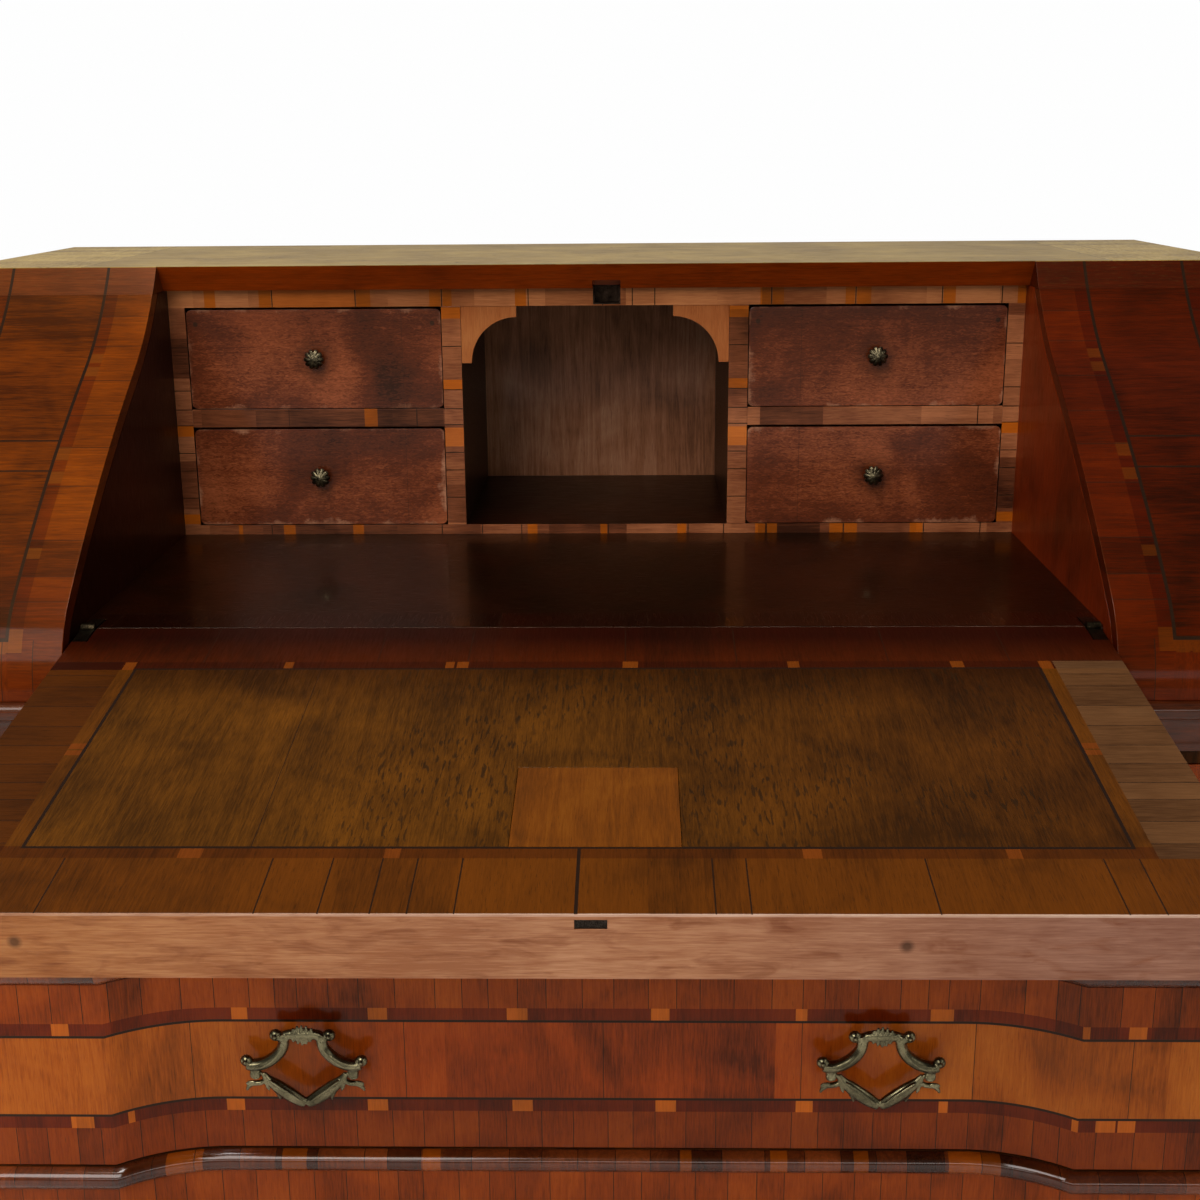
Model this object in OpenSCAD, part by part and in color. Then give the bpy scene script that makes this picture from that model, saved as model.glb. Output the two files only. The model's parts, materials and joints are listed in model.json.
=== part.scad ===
// Slant-front desk with a serpentine front, walnut veneer on a softwood case.
// The fall is drawn open, on its two lopers, as in use. Sizes are in millimetres.
// Everything is drawn from the hinge line of the fall: X runs to the right, Y to the back and
// Z up from the writing surface. stand() then sets the whole desk on the floor.

/* [Case] */
// Width over the two side panels
case_w = 1216; // [1180:2:1280]
// Depth from the hinge line to the back of the case
case_depth = 655; // [630:5:700]
// Height of the top above the writing surface
top_rise = 271; // [262:1:280]
// Thickness of the side panels
side_t = 20; // [16:1:24]
// Thickness of the top
top_t = 24.5; // [20:0.5:27]
// Overhang of the top at each side
top_overhang = 8; // [4:1:14]
// Thickness of the back boards
back_t = 14; // [10:1:18]
// Number of back boards
back_count = 6; // [4:1:8]
// Thickness of the board under the lowest drawer
bottom_t = 20; // [16:1:22]
// Height of the feet
foot_h = 90; // [75:5:120]
// Height of the moulding above the feet
base_h = 38; // [32:2:46]

/* [Front] */
// Distance of the flat centre of the front before the hinge line
centre_out = 5; // [3:1:9]
// Depth by which the centre lies behind the corner blocks
recess = 29; // [20:1:34]
// Width of the hollow sweep between block and centre
sweep_w = 95; // [80:5:120]

/* [Slope] */
// Width of the opening between the cheeks
opening_w = 840; // [800:5:860]
// Thickness of the cheeks
cheek_t = 18; // [14:1:22]
// Thickness of the curved wing panels
wing_t = 14; // [12:1:16]
// Drop from the writing surface to the waist moulding
waist_drop = 48; // [46:1:54]
// Radius of the round lower stretch of the slope
bulge_r = 100; // [94:2:106]
// Slope where the round stretch ends, in degrees
bulge_angle = 40; // [39:1:41]
// Radius of the long middle stretch
belly_r = 1550; // [1480:10:1600]
// Slope where the middle stretch ends, in degrees
belly_angle = 30; // [29.5:0.5:30.5]
// Radius of the hollow upper stretch
hollow_r = 314; // [300:2:330]

/* [Fall] */
// Thickness of the fall at its free edge
fall_edge_t = 46; // [42:1:48]
// Droop of the open fall, in degrees
fall_tilt = 8.2; // [7:0.2:9]
// Gap between the fall and each cheek
fall_gap = 3; // [2:0.5:4]
// Radius of the hinge barrels
barrel_r = 4; // [3.5:0.25:5]
// Length of one hinge knuckle
knuckle_w = 5.6; // [5:0.2:7]
// Length of each hinge leaf
leaf_len = 26; // [20:1:32]
// Thickness of the hinge leaves
leaf_t = 1.6; // [1.2:0.2:2.4]
// Radius of the hinge pins
pin_r = 1.75; // [1.5:0.05:2.2]

/* [Lock] */
// Distance of the lock from the middle of the fall
lock_x = 12; // [6:1:18]
// Width of the lock case
lock_w = 80; // [70:2:90]
// Depth of the lock case from the free edge
lock_deep = 66; // [56:2:70]
// Thickness of the lock case
lock_t = 15; // [12:1:16]
// Width of the bolt
bolt_w = 19; // [14:1:24]
// Thickness of the bolt
bolt_t = 6; // [5:0.5:7]
// Throw of the bolt
bolt_throw = 13; // [10:1:14]
// Lipping that covers the lock at the free edge
edge_lip = 5; // [3:1:8]
// Side of the square cover patch along the width
patch_w = 110; // [100:2:120]
// Side of the cover patch along the depth
patch_d = 101; // [90:1:104]
// Thickness of the cover patch
patch_t = 4; // [3:0.5:5]

/* [Writing bed and waist] */
// Thickness of the writing bed
bed_t = 22; // [18:1:24]
// Height of the waist moulding
waist_h = 45; // [42:1:50]
// Projection of the waist moulding
waist_out = 22; // [20:1:26]
// Height of the plain strip under the waist moulding
strip_h = 13; // [11:1:16]
// Depth of the rails between the drawers
rail_depth = 90; // [70:5:110]
// Distance of each loper from the middle
loper_x = 390; // [384:1:396]
// Width of a loper
loper_w = 26; // [22:1:30]
// Height of a loper
loper_h = 21; // [18:0.5:22]
// Distance that a loper pulls out
loper_reach = 160; // [140:4:200]
// Length of a loper
loper_len = 430; // [400:5:460]
// Wall of the loper guides
guide_t = 8; // [6:1:10]
// Length of the loper guides
guide_len = 150; // [120:5:150]

/* [Long drawers] */
// Height of a long drawer's opening
drawer_h = 178.5; // [160:0.5:190]
// Height of the rails between the openings
rail_t = 22.5; // [20:0.5:26]
// Thickness of a drawer front at its centre
front_t = 22; // [18:1:26]
// Thickness of the drawer sides
drawer_side_t = 12; // [10:1:14]
// Thickness of the drawer bottoms
drawer_bottom_t = 8; // [6:1:10]
// Height of the drawer sides
drawer_side_h = 150; // [120:5:155]
// Room between the long drawers and the back of the case
drawer_room = 44; // [30:2:80]
// Distance that a long drawer pulls out
drawer_travel = 350; // [300:10:400]
// Number of dovetails at each corner
tail_count = 4; // [3:1:5]
// Gap round a long drawer's front
drawer_gap = 1.2; // [0.8:0.1:2]
// Width of the runners under the drawers
runner_w = 40; // [30:1:50]
// Radius of the bead on the rails
bead_r = 10.5; // [9:0.5:10.5]

/* [Gallery] */
// Width of the open compartment
niche_w = 264; // [240:2:280]
// Thickness of the uprights beside the compartment
divider_t = 19; // [14:1:22]
// Thickness of the outer uprights
stile_t = 16; // [12:1:20]
// Thickness of the gallery's floor
floor_t = 9.5; // [8:0.5:12]
// Thickness of the shelf between the small drawers
shelf_t = 18; // [14:1:22]
// Thickness of the gallery's top board
cap_t = 17.5; // [16:0.5:22]
// Room between the gallery and the back boards
gallery_room = 41.5; // [20:0.5:60]
// Thickness of the gallery's back
gallery_back_t = 8; // [6:1:10]
// Radius of the arch corners
arch_r = 45; // [35:1:50]
// Width of each spandrel
spandrel_w = 55; // [52:1:60]
// Height of each spandrel
spandrel_h = 56; // [52:1:60]
// Thickness of the spandrels
spandrel_t = 12; // [8:1:16]
// Thickness of a small drawer's front
small_front_t = 14; // [12:1:18]
// Thickness of a small drawer's sides
small_side_t = 7; // [5:1:9]
// Thickness of a small drawer's bottom
small_bottom_t = 5; // [4:1:7]
// Gap round a small drawer
small_gap = 0.8; // [0.5:0.1:1.5]
// Distance that a small drawer pulls out
small_travel = 180; // [150:5:190]

/* [Brass] */
// Distance of each handle from the middle
handle_x = 251; // [235:1:260]
// Drop of the bail's axis below the drawer's centre
handle_drop = 4; // [0:1:8]
// Distance of the handle's middle plane before the drawer
handle_out = 16; // [13:0.5:19]
// Width of a handle
handle_w = 116; // [110:1:122]
// Radius of the bail's pivots
pivot_r = 1.6; // [1.4:0.1:1.8]
// Swing of the bails, in degrees
bail_swing = 75; // [60:5:80]
// Radius of the small knobs
knob_r = 10; // [8:0.5:12]
// Number of flutes on a knob
knob_flutes = 10; // [8:1:12]

/* [Hidden] */

// Colours
walnut = "#8a4a22";
dark_walnut = "#4a2413";
pale_walnut = "#a9713f";
softwood = "#b98d5e";
brass = "#6b5a34";
iron = "#4c4a44";

// Clearance of parts that slide or turn, and of flat seats
slide_gap = 0.3;
hinge_gap = 0.6;
pin_gap = 0.05;
case_gap = 1;

// Half widths
half_w = case_w / 2;
inner_w = half_w - side_t;
half_open = opening_w / 2;
half_fall = half_open - fall_gap;

// Levels, from the writing surface down
waist_bottom = -(waist_drop + waist_h);
drawers_top = waist_bottom - strip_h;
drawer_pitch = drawer_h + rail_t;
function opening_top(row) = drawers_top - row * drawer_pitch;
drawers_bottom = opening_top(2) - drawer_h;
base_bottom = drawers_bottom - base_h;
floor_z = base_bottom - foot_h;
back_y = case_depth - back_t;

// The slope's profile: each point holds Y, Z and the direction of the curve there, in degrees.
// A stretch bends from direction a0 to a1 on one radius.
bend_steps = 9;
function bend(p, a0, a1, r) = [for (i = [1:bend_steps])
    let (a = a0 + (a1 - a0) * i / bend_steps, k = a1 < a0 ? r : -r)
    [p[0] + k * (sin(a0) - sin(a)), p[1] + k * (cos(a) - cos(a0)), a]];
block_y = -(centre_out + recess);
slope_foot = [block_y - wing_t, -waist_drop, 90];
bulge = bend(slope_foot, 90, bulge_angle, bulge_r);
belly_start = bulge[bend_steps - 1];
belly = bend(belly_start, bulge_angle, belly_angle, belly_r);
hollow_start = belly[bend_steps - 1];
top_angle = acos(cos(belly_angle) - (top_rise - hollow_start[1]) / hollow_r);
hollow = bend(hollow_start, belly_angle, top_angle, hollow_r);
slope = concat([slope_foot], bulge, belly, hollow);
slope_top = hollow[bend_steps - 1];
function inset(pts, t) = [for (p = pts) [p[0] + t * sin(p[2]), p[1] - t * cos(p[2])]];
function flat(pts) = [for (p = pts) [p[0], p[1]]];

// The closed fall: its inner face lies at closed_angle through the hinge line
edge_radius = norm([slope_top[0], slope_top[1]]);
closed_angle = atan2(slope_top[1], slope_top[0]) - asin(fall_edge_t / edge_radius);
fall_len = edge_radius * cos(asin(fall_edge_t / edge_radius));
fall_turn = 180 + fall_tilt - closed_angle;
function turned(p, a) = [p[0] * cos(a) - p[1] * sin(a), p[0] * sin(a) + p[1] * cos(a)];

// The whole desk is centred over the floor area that it covers with the fall open
hinge_y = (fall_len * cos(fall_tilt) - case_depth) / 2;
module stand() translate([0, hinge_y, -floor_z]) children();

// The lopers meet the underside of the open fall at their noses
loper_nose = loper_reach - block_y + 6;
underside = [for (p = slope) turned(p, fall_turn)];
loper_top = lookup(-loper_nose, underside) - slide_gap;
loper_front = block_y - waist_out - 5;

// Gallery levels
gallery_y = fall_len * cos(closed_angle) + 3;
gallery_h = top_rise - top_t;
gallery_end = back_y - gallery_room;
gallery_deep = gallery_end - gallery_y;
small_h = (gallery_h - floor_t - shelf_t - cap_t) / 2;
niche = niche_w / 2;
small_in = niche + divider_t;
small_out = half_open - stile_t;
function small_z(row) = floor_t + row * (small_h + shelf_t);

// The front in plan, pushed forward by o: flat centre, hollow sweep, corner and block
sweep_r = (sweep_w * sweep_w + recess * recess) / (2 * recess);
sweep_angle = asin(sweep_w / sweep_r);
sweep_start = half_open - sweep_w;
sweep_steps = 10;
// Stations along the sweep: a point and the way in which it moves when pushed forward
sweep = [for (i = [0:sweep_steps]) let (a = sweep_angle * i / sweep_steps)
    [[sweep_start + sweep_r * sin(a), -centre_out - sweep_r * (1 - cos(a))], [-sin(a), -cos(a)]]];
half_stations = concat([for (i = [0:sweep_steps - 1]) sweep[i]],
    [[[half_open, block_y], [-tan(sweep_angle / 2), -1]]]);
function mirrored(s) = [[-s[0][0], s[0][1]], [-s[1][0], s[1][1]]];
left_stations = [for (i = [len(half_stations) - 1:-1:0]) mirrored(half_stations[i])];
middle_stations = concat(left_stations, half_stations);
function with_ends(x) = concat([[[-x, block_y], [0, -1]]], middle_stations, [[[x, block_y], [0, -1]]]);
function with_returns(y) = concat(
    [[[-half_w, y], [-1, 0]], [[-half_w, block_y], [-1, -1]]], middle_stations,
    [[[half_w, block_y], [1, -1]], [[half_w, y], [1, 0]]]);
function pushed(stations, o) = [for (s = stations) s[0] + o * s[1]];

// A board in plan: serpentine front, straight back at y, half width x
module plan_board(x, y, z0, z1)
    translate([0, 0, z0]) linear_extrude(z1 - z0)
        polygon(concat(pushed(with_ends(x), 0), [[x, y], [-x, y]]));

// A moulding: its face, a list of [projection, level] from the top down, is swept along the
// stations. Its back is flat. Fans from both back corners close each end: they meet at the point
// of the face, counted from 1, that both corners see.
module moulding(stations, face, seen = 1) {
    profile = concat([[0, face[0][1]]], face, [[0, face[len(face) - 1][1]]]);
    n = len(profile);
    m = len(stations);
    last = (m - 1) * n;
    pts = [for (s = stations) for (p = profile)
        [s[0][0] + p[0] * s[1][0], s[0][1] + p[0] * s[1][1], p[1]]];
    sides = [for (i = [0:m - 2]) for (j = [0:n - 1]) each [
        [i * n + j, i * n + (j + 1) % n, (i + 1) * n + j],
        [i * n + (j + 1) % n, (i + 1) * n + (j + 1) % n, (i + 1) * n + j]]];
    fans = concat([for (j = [1:1:seen - 1]) [0, j, j + 1]], [[0, seen, n - 1]],
        [for (j = [seen:n - 3]) [n - 1, j, j + 1]]);
    ends = [for (f = fans) each [[f[2], f[1], f[0]], [last + f[0], last + f[1], last + f[2]]]];
    polyhedron(pts, concat(sides, ends), convexity = 6);
}

// An extrusion along X of a shape drawn in Y and Z
module along_x(x0, x1) translate([x0, 0, 0]) rotate([90, 0, 90]) linear_extrude(x1 - x0) children();
module both_sides() {
    children();
    mirror([1, 0, 0]) children();
}
module block(x0, x1, y0, y1, z0, z1) translate([x0, y0, z0]) cube([x1 - x0, y1 - y0, z1 - z0]);
module rod(x0, x1, y, z, r) translate([x0, y, z]) rotate([0, 90, 0]) cylinder(h = x1 - x0, r = r, $fn = 32);
module below(z) translate([-500, -1500]) square([1500, 1500 + z]);
module under_slope() polygon(concat(flat(slope), [[case_depth, top_rise], [case_depth, -waist_drop]]));

// A smooth tube in the plane of a handle: points hold X and Z, radii swell and taper it
tube_sides = 7;
function heading(pts, i) = let (a = pts[max(i - 1, 0)], b = pts[min(i + 1, len(pts) - 1)])
    (b - a) / norm(b - a);
module tube(pts, radii) {
    n = tube_sides;
    m = len(pts);
    rings = [for (i = [0:m - 1]) let (d = heading(pts, i)) for (j = [0:n - 1])
        let (a = 360 * j / n, u = radii[i] * cos(a), v = radii[i] * sin(a))
        [pts[i][0] - d[1] * u, v, pts[i][1] + d[0] * u]];
    sides = [for (i = [0:m - 2]) for (j = [0:n - 1]) each [
        [i * n + j, i * n + (j + 1) % n, (i + 1) * n + j],
        [i * n + (j + 1) % n, (i + 1) * n + (j + 1) % n, (i + 1) * n + j]]];
    ends = [[for (j = [n - 1:-1:0]) j], [for (j = [0:n - 1]) (m - 1) * n + j]];
    polyhedron(rings, concat(sides, ends), convexity = 4);
}

// Case
module side_panel() color(walnut) stand() along_x(inner_w, half_w) intersection() {
    polygon(concat(inset(slope, wing_t),
        [[case_depth, top_rise], [case_depth, base_bottom], [block_y, base_bottom]]));
    below(gallery_h);
}
module left_side() mirror([1, 0, 0]) side_panel();
module right_side() side_panel();

module back_boards() color(softwood) stand() {
    board_w = 2 * inner_w / back_count;
    for (i = [0:back_count - 1])
        block(-inner_w + i * board_w + slide_gap, -inner_w + (i + 1) * board_w - slide_gap,
            back_y, case_depth, base_bottom, gallery_h);
}

// The top's front edge follows the slope over the wings. Over the opening it is cut back
// square to the closed fall, whose free edge shuts against it.
module top_board() color(walnut) stand() difference() {
    union() {
        both_sides() along_x(half_open, half_w + top_overhang) intersection() {
            under_slope();
            translate([0, gallery_h]) square([case_depth, top_t]);
        }
        along_x(-half_open, half_open) difference() {
            translate([0, gallery_h]) square([case_depth, top_t]);
            rotate(closed_angle) translate([-500, -200]) square([fall_len + 500 + hinge_gap, 600]);
        }
    }
    keeper_notch();
}

module wing_panels() color(walnut) stand() both_sides() along_x(half_open, half_w) intersection() {
    polygon(concat(flat(slope), [for (i = [len(slope) - 1:-1:0]) inset(slope, wing_t)[i]]));
    below(gallery_h);
}

module cheeks() color(dark_walnut) stand() both_sides() along_x(half_open, half_open + cheek_t)
    intersection() {
        polygon(concat(inset(slope, wing_t), [[back_y, top_rise], [back_y, -waist_drop]]));
        below(gallery_h);
    }

module writing_bed() color(dark_walnut) stand() difference() {
    block(-half_open, half_open, hinge_gap, back_y, -bed_t, 0);
    both_sides() leaf_recess(0);
}

module carcase_bottom() color(softwood) stand()
    plan_board(inner_w, back_y, drawers_bottom - bottom_t, drawers_bottom);

// The waist rail carries the bed, the cheeks and the waist moulding. A ledge stands before the
// bed's edge, under the open fall. The lopers run through it.
ledge_out = 22;
ledge_h = 8;
rail_back = 40;
module loper_slot() both_sides() block(loper_x - loper_w / 2 - slide_gap, loper_x + loper_w / 2 + slide_gap,
    loper_front - 40, rail_back + 10, loper_top - loper_h - slide_gap, loper_top + slide_gap);
module waist_rail() color(walnut) stand() difference() {
    union() {
        plan_board(inner_w, rail_back, drawers_top, -waist_drop);
        block(-half_open, half_open, 0, rail_back, -waist_drop, -bed_t);
        block(-half_open, half_open, -ledge_out, 0, -waist_drop, ledge_h - waist_drop);
    }
    loper_slot();
}

// Waist moulding: an ovolo over two fillets and a hollow, returned along the sides
ovolo_h = 15;
hollow_h = waist_h - ovolo_h - 12;
waist_face = concat(
    [[waist_out - 5, -waist_drop]],
    [for (a = [60:-30:-60]) [waist_out - 5 + 5 * cos(a), -waist_drop - ovolo_h / 2 + (ovolo_h / 2) * sin(a)]],
    [[waist_out - 5, -waist_drop - ovolo_h], [waist_out - 8, -waist_drop - ovolo_h],
        [waist_out - 8, -waist_drop - ovolo_h - 3], [waist_out - 11, -waist_drop - ovolo_h - 3]],
    [for (a = [25:25:75]) [waist_out - 11 - 6 * sin(a), -waist_drop - ovolo_h - 3 - hollow_h * (1 - cos(a))]],
    [[waist_out - 15, waist_bottom + 7], [waist_out - 15, waist_bottom]]);
waist_seen = len(waist_face) - 2;
module waist_moulding() color(dark_walnut) stand() difference() {
    moulding(with_returns(case_depth), waist_face, waist_seen);
    loper_slot();
}

// The rails between the drawers, and the half-round bead planted on each
module drawer_rails() color(walnut) stand() for (row = [0, 1])
    plan_board(inner_w, rail_depth, opening_top(row + 1), opening_top(row) - drawer_h);

bead_face = concat([[0.5, bead_r]], [for (a = [67.5:-22.5:-67.5]) [bead_r * cos(a), bead_r * sin(a)]],
    [[0.5, -bead_r]]);
module bead_mouldings() color(dark_walnut) stand() for (row = [0, 1])
    translate([0, 0, opening_top(row) - drawer_h - rail_t / 2]) moulding(with_ends(half_w), bead_face);

// Base moulding: a fillet, a cyma and a plinth
base_out = 20;
base_face = concat(
    [[4, drawers_bottom - 1], [4, drawers_bottom - 5]],
    [for (a = [0:22.5:90]) [5 + 7 * (1 - cos(a)), drawers_bottom - 6 - 8 * sin(a)]],
    [for (a = [60:-30:0]) [12 + 6 * cos(a), drawers_bottom - 20 + 5 * sin(a) - 4]],
    [[base_out, drawers_bottom - 27], [base_out, base_bottom]]);
module base_moulding() color(dark_walnut) stand() moulding(with_returns(case_depth), base_face);

// Bracket feet: two shaped boards meet at each front corner. A back foot has one, and a block.
foot_w = 175;
foot_t = 24;
foot_block = 50;
module bracket() difference() {
    square([foot_w, foot_h]);
    translate([foot_w, 0]) circle(r = foot_h * 0.55, $fn = 48);
    translate([foot_w - foot_h * 0.30, foot_h * 0.52]) circle(r = foot_h * 0.26, $fn = 36);
    translate([foot_w, foot_h * 0.72]) square([foot_h * 0.6, foot_h * 0.7], center = true);
}
foot_x = half_w + base_out - 8;
foot_y = block_y - base_out + 8;
module foot_side(y, way) translate([foot_x - foot_t, y, floor_z]) scale([1, way, 1])
    rotate([90, 0, 90]) linear_extrude(foot_t) bracket();
module bracket_feet() color(dark_walnut) stand() both_sides() {
    translate([foot_x, foot_y + foot_t, floor_z]) rotate([90, 0, 0]) mirror([1, 0, 0])
        linear_extrude(foot_t) bracket();
    foot_side(foot_y, 1);
    foot_side(case_depth, -1);
    block(foot_x - foot_t - foot_block, foot_x - foot_t, foot_y + foot_t, foot_y + foot_t + foot_block,
        floor_z, base_bottom);
    block(foot_x - foot_t - foot_block, foot_x - foot_t, case_depth - foot_block, case_depth,
        floor_z, base_bottom);
    block(inner_w - foot_block, inner_w, block_y, block_y + foot_block,
        base_bottom, drawers_bottom - bottom_t);
}

// Runners carry the sides of each long drawer from the rail to the back
module drawer_runners() color(softwood) stand() both_sides() for (row = [0, 1])
    block(inner_w - runner_w, inner_w, rail_depth, back_y, opening_top(row + 1), opening_top(row) - drawer_h);

// A square sleeve behind the waist rail holds each loper, hung from the bed at its back end
module loper_guides() color(softwood) stand() both_sides() difference() {
    union() {
        block(loper_x - loper_w / 2 - guide_t, loper_x + loper_w / 2 + guide_t,
            rail_back, rail_back + guide_len,
            loper_top - loper_h - guide_t, loper_top + guide_t);
        block(loper_x - loper_w / 2, loper_x + loper_w / 2, rail_back + guide_len - 30, rail_back + guide_len,
            loper_top, -bed_t);
    }
    block(loper_x - loper_w / 2 - slide_gap, loper_x + loper_w / 2 + slide_gap, rail_back - 1,
        rail_back + guide_len + 1, loper_top - loper_h - slide_gap, loper_top + slide_gap);
}

// Lopers: each carries the piece of waist moulding that its slot takes out of the front
loper_x0 = loper_x - loper_w / 2;
loper_x1 = loper_x + loper_w / 2;
cap_deep = 30;
module loper_cap() translate([sweep_start, -centre_out - sweep_r, 0]) rotate_extrude($fn = 240)
    polygon(concat([[sweep_r + cap_deep, -waist_drop]], [for (p = waist_face) [sweep_r - p[0], p[1]]],
        [[sweep_r + cap_deep, waist_bottom]]));
module loper() color(walnut) stand() translate([0, -loper_reach, 0]) {
    intersection() {
        loper_cap();
        block(loper_x0, loper_x1, loper_front, 0, loper_top - loper_h, loper_top);
    }
    block(loper_x0, loper_x1, -1, loper_len, loper_top - loper_h, loper_top);
}
module right_loper() loper();
module left_loper() mirror([1, 0, 0]) loper();

// Gallery
module gallery_case() color(walnut) stand() difference() {
    block(-half_open, half_open, gallery_y, gallery_end - gallery_back_t, 0, gallery_h);
    block(-small_out, small_out, gallery_y - 1, gallery_end, floor_t, gallery_h - cap_t);
    keeper_notch();
}
module gallery_dividers() color(walnut) stand() both_sides()
    block(niche, small_in, gallery_y, gallery_end - gallery_back_t, floor_t, gallery_h - cap_t);
module gallery_shelves() color(walnut) stand() both_sides()
    block(small_in, small_out, gallery_y, gallery_end - gallery_back_t, small_z(0) + small_h, small_z(1));
module gallery_back() color(dark_walnut) stand()
    block(-half_open, half_open, gallery_end - gallery_back_t, gallery_end, 0, gallery_h);
module gallery_spandrels() color(pale_walnut) stand() both_sides()
    translate([niche, gallery_y + spandrel_t + 1, gallery_h - cap_t]) rotate([90, 0, 0])
        linear_extrude(spandrel_t)
        difference() {
            translate([-spandrel_w, -spandrel_h]) square([spandrel_w, spandrel_h]);
            translate([-spandrel_w, -spandrel_h]) circle(r = arch_r, $fn = 64);
        }

// Lock. The keeper lines the notch in the gallery's top edge that the bolt shoots into.
keeper_w = bolt_w + 8;
keeper_t = 1.5;
bolt_n = 7;
keeper_foot = gallery_h - cap_t + 1;
module keeper_notch() block(lock_x - keeper_w / 2, lock_x + keeper_w / 2, 0, gallery_y + bolt_throw + 3,
    keeper_foot, gallery_h + 8);
module lock_keeper() color(brass) stand() difference() {
    block(lock_x - keeper_w / 2, lock_x + keeper_w / 2, gallery_y, gallery_y + bolt_throw + 3,
        keeper_foot, gallery_h + 1);
    block(lock_x - keeper_w / 2 + keeper_t, lock_x + keeper_w / 2 - keeper_t, gallery_y - 1,
        gallery_y + bolt_throw + 3 - keeper_t, keeper_foot + keeper_t, gallery_h + 2);
}

// Pieces of the fall are drawn on the board laid flat, with s along X and depth n along Z
// before they are turned to the open fall's slope.
module on_open_fall() rotate([180 + fall_tilt, 0, 0]) children();
module fall_block(x0, x1, s0, s1, n0, n1) on_open_fall() block(x0, x1, s0, s1, n0, n1);
module leaf_recess(turn) rotate([turn, 0, 0]) {
    x0 = half_fall - 2 * knuckle_w - 2;
    rod(x0, half_open, 0, 0, barrel_r + slide_gap);
    block(x0, half_fall, 0, leaf_len + slide_gap, -leaf_t, barrel_r);
}
module fall_recess() {
    x0 = half_fall - 2 * knuckle_w - 2;
    rod(x0, half_open, 0, 0, barrel_r + slide_gap);
    fall_block(x0, half_fall + 1, 0, leaf_len + slide_gap, -barrel_r, leaf_t);
}
// The keyhole goes through a chosen corner of the slope's profile, near the free edge
key_corner = slope[len(slope) - 4];
key_place = turned([key_corner[0], key_corner[1]], -closed_angle);
key_s = key_place[0];
patch_x = lock_x + 1;
patch_s1 = fall_len - lock_deep - 8;
module fall_blank() along_x(-half_fall, half_fall) rotate(fall_turn) intersection() {
    under_slope();
    rotate(closed_angle) polygon([[hinge_gap, 0], [fall_len, 0], [fall_len, top_rise],
        [hinge_gap + top_rise * tan(fall_tilt), top_rise]]);
}
module fall_board() color(pale_walnut) stand() difference() {
    fall_blank();
    both_sides() fall_recess();
    fall_block(lock_x - lock_w / 2, lock_x + lock_w / 2, fall_len - lock_deep, fall_len - edge_lip,
        2, 2 + lock_t);
    fall_block(lock_x - bolt_w / 2 - slide_gap, lock_x + bolt_w / 2 + slide_gap, fall_len - edge_lip - 1,
        fall_len + 1, bolt_n - bolt_t / 2 - slide_gap, bolt_n + bolt_t / 2 + slide_gap);
    fall_block(patch_x - patch_w / 2, patch_x + patch_w / 2, patch_s1 - patch_d, patch_s1, -1, patch_t);
    on_open_fall() translate([lock_x, key_s, lock_t]) cylinder(h = 80, r = 3.2, $fn = 32);
    on_open_fall() block(lock_x - 1.6, lock_x + 1.6, key_s - 10, key_s, lock_t, 80);
}
module lock_case() color(brass) stand() difference() {
    fall_block(lock_x - lock_w / 2 + slide_gap, lock_x + lock_w / 2 - slide_gap,
        fall_len - lock_deep + slide_gap,
        fall_len - edge_lip - slide_gap, 2 + slide_gap, 2 + lock_t - slide_gap);
    fall_block(lock_x - bolt_w / 2 - slide_gap, lock_x + bolt_w / 2 + slide_gap, fall_len - lock_deep / 2,
        fall_len + 1, bolt_n - bolt_t / 2 - slide_gap, bolt_n + bolt_t / 2 + slide_gap);
    on_open_fall() translate([lock_x, key_s, bolt_n + bolt_t]) cylinder(h = 20, r = 2.6, $fn = 32);
}
module lock_bolt() color(iron) stand() difference() {
    fall_block(lock_x - bolt_w / 2, lock_x + bolt_w / 2, fall_len - lock_deep / 2 + 1, fall_len - 0.5,
        bolt_n - bolt_t / 2, bolt_n + bolt_t / 2);
    fall_block(lock_x - 3, lock_x + 3, fall_len - lock_deep / 2 + 10, fall_len - 12,
        bolt_n + bolt_t / 2 - 2, bolt_n + bolt_t / 2 + 1);
}
module lock_patch() color(pale_walnut) stand() fall_block(
    patch_x - patch_w / 2 + slide_gap, patch_x + patch_w / 2 - slide_gap,
    patch_s1 - patch_d + slide_gap, patch_s1 - slide_gap, 0, patch_t);

// The escutcheon lies along the outer face, over the keyhole
plate_t = 2.5;
module escutcheon() color(brass) stand() difference() {
    on_open_fall() translate([lock_x, key_s, key_place[1]]) rotate([key_corner[2] - closed_angle, 0, 0])
        difference() {
            translate([0, 0, -1]) linear_extrude(plate_t + 1) union() {
                circle(r = 13, $fn = 48);
                translate([0, -14]) circle(r = 9, $fn = 40);
                translate([0, 14]) circle(r = 7, $fn = 40);
            }
            translate([0, 0, -2]) cylinder(h = plate_t + 4, r = 3, $fn = 32);
            translate([-1.5, -10, -2]) cube([3, 10, plate_t + 4]);
        }
    fall_blank();
}

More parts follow.
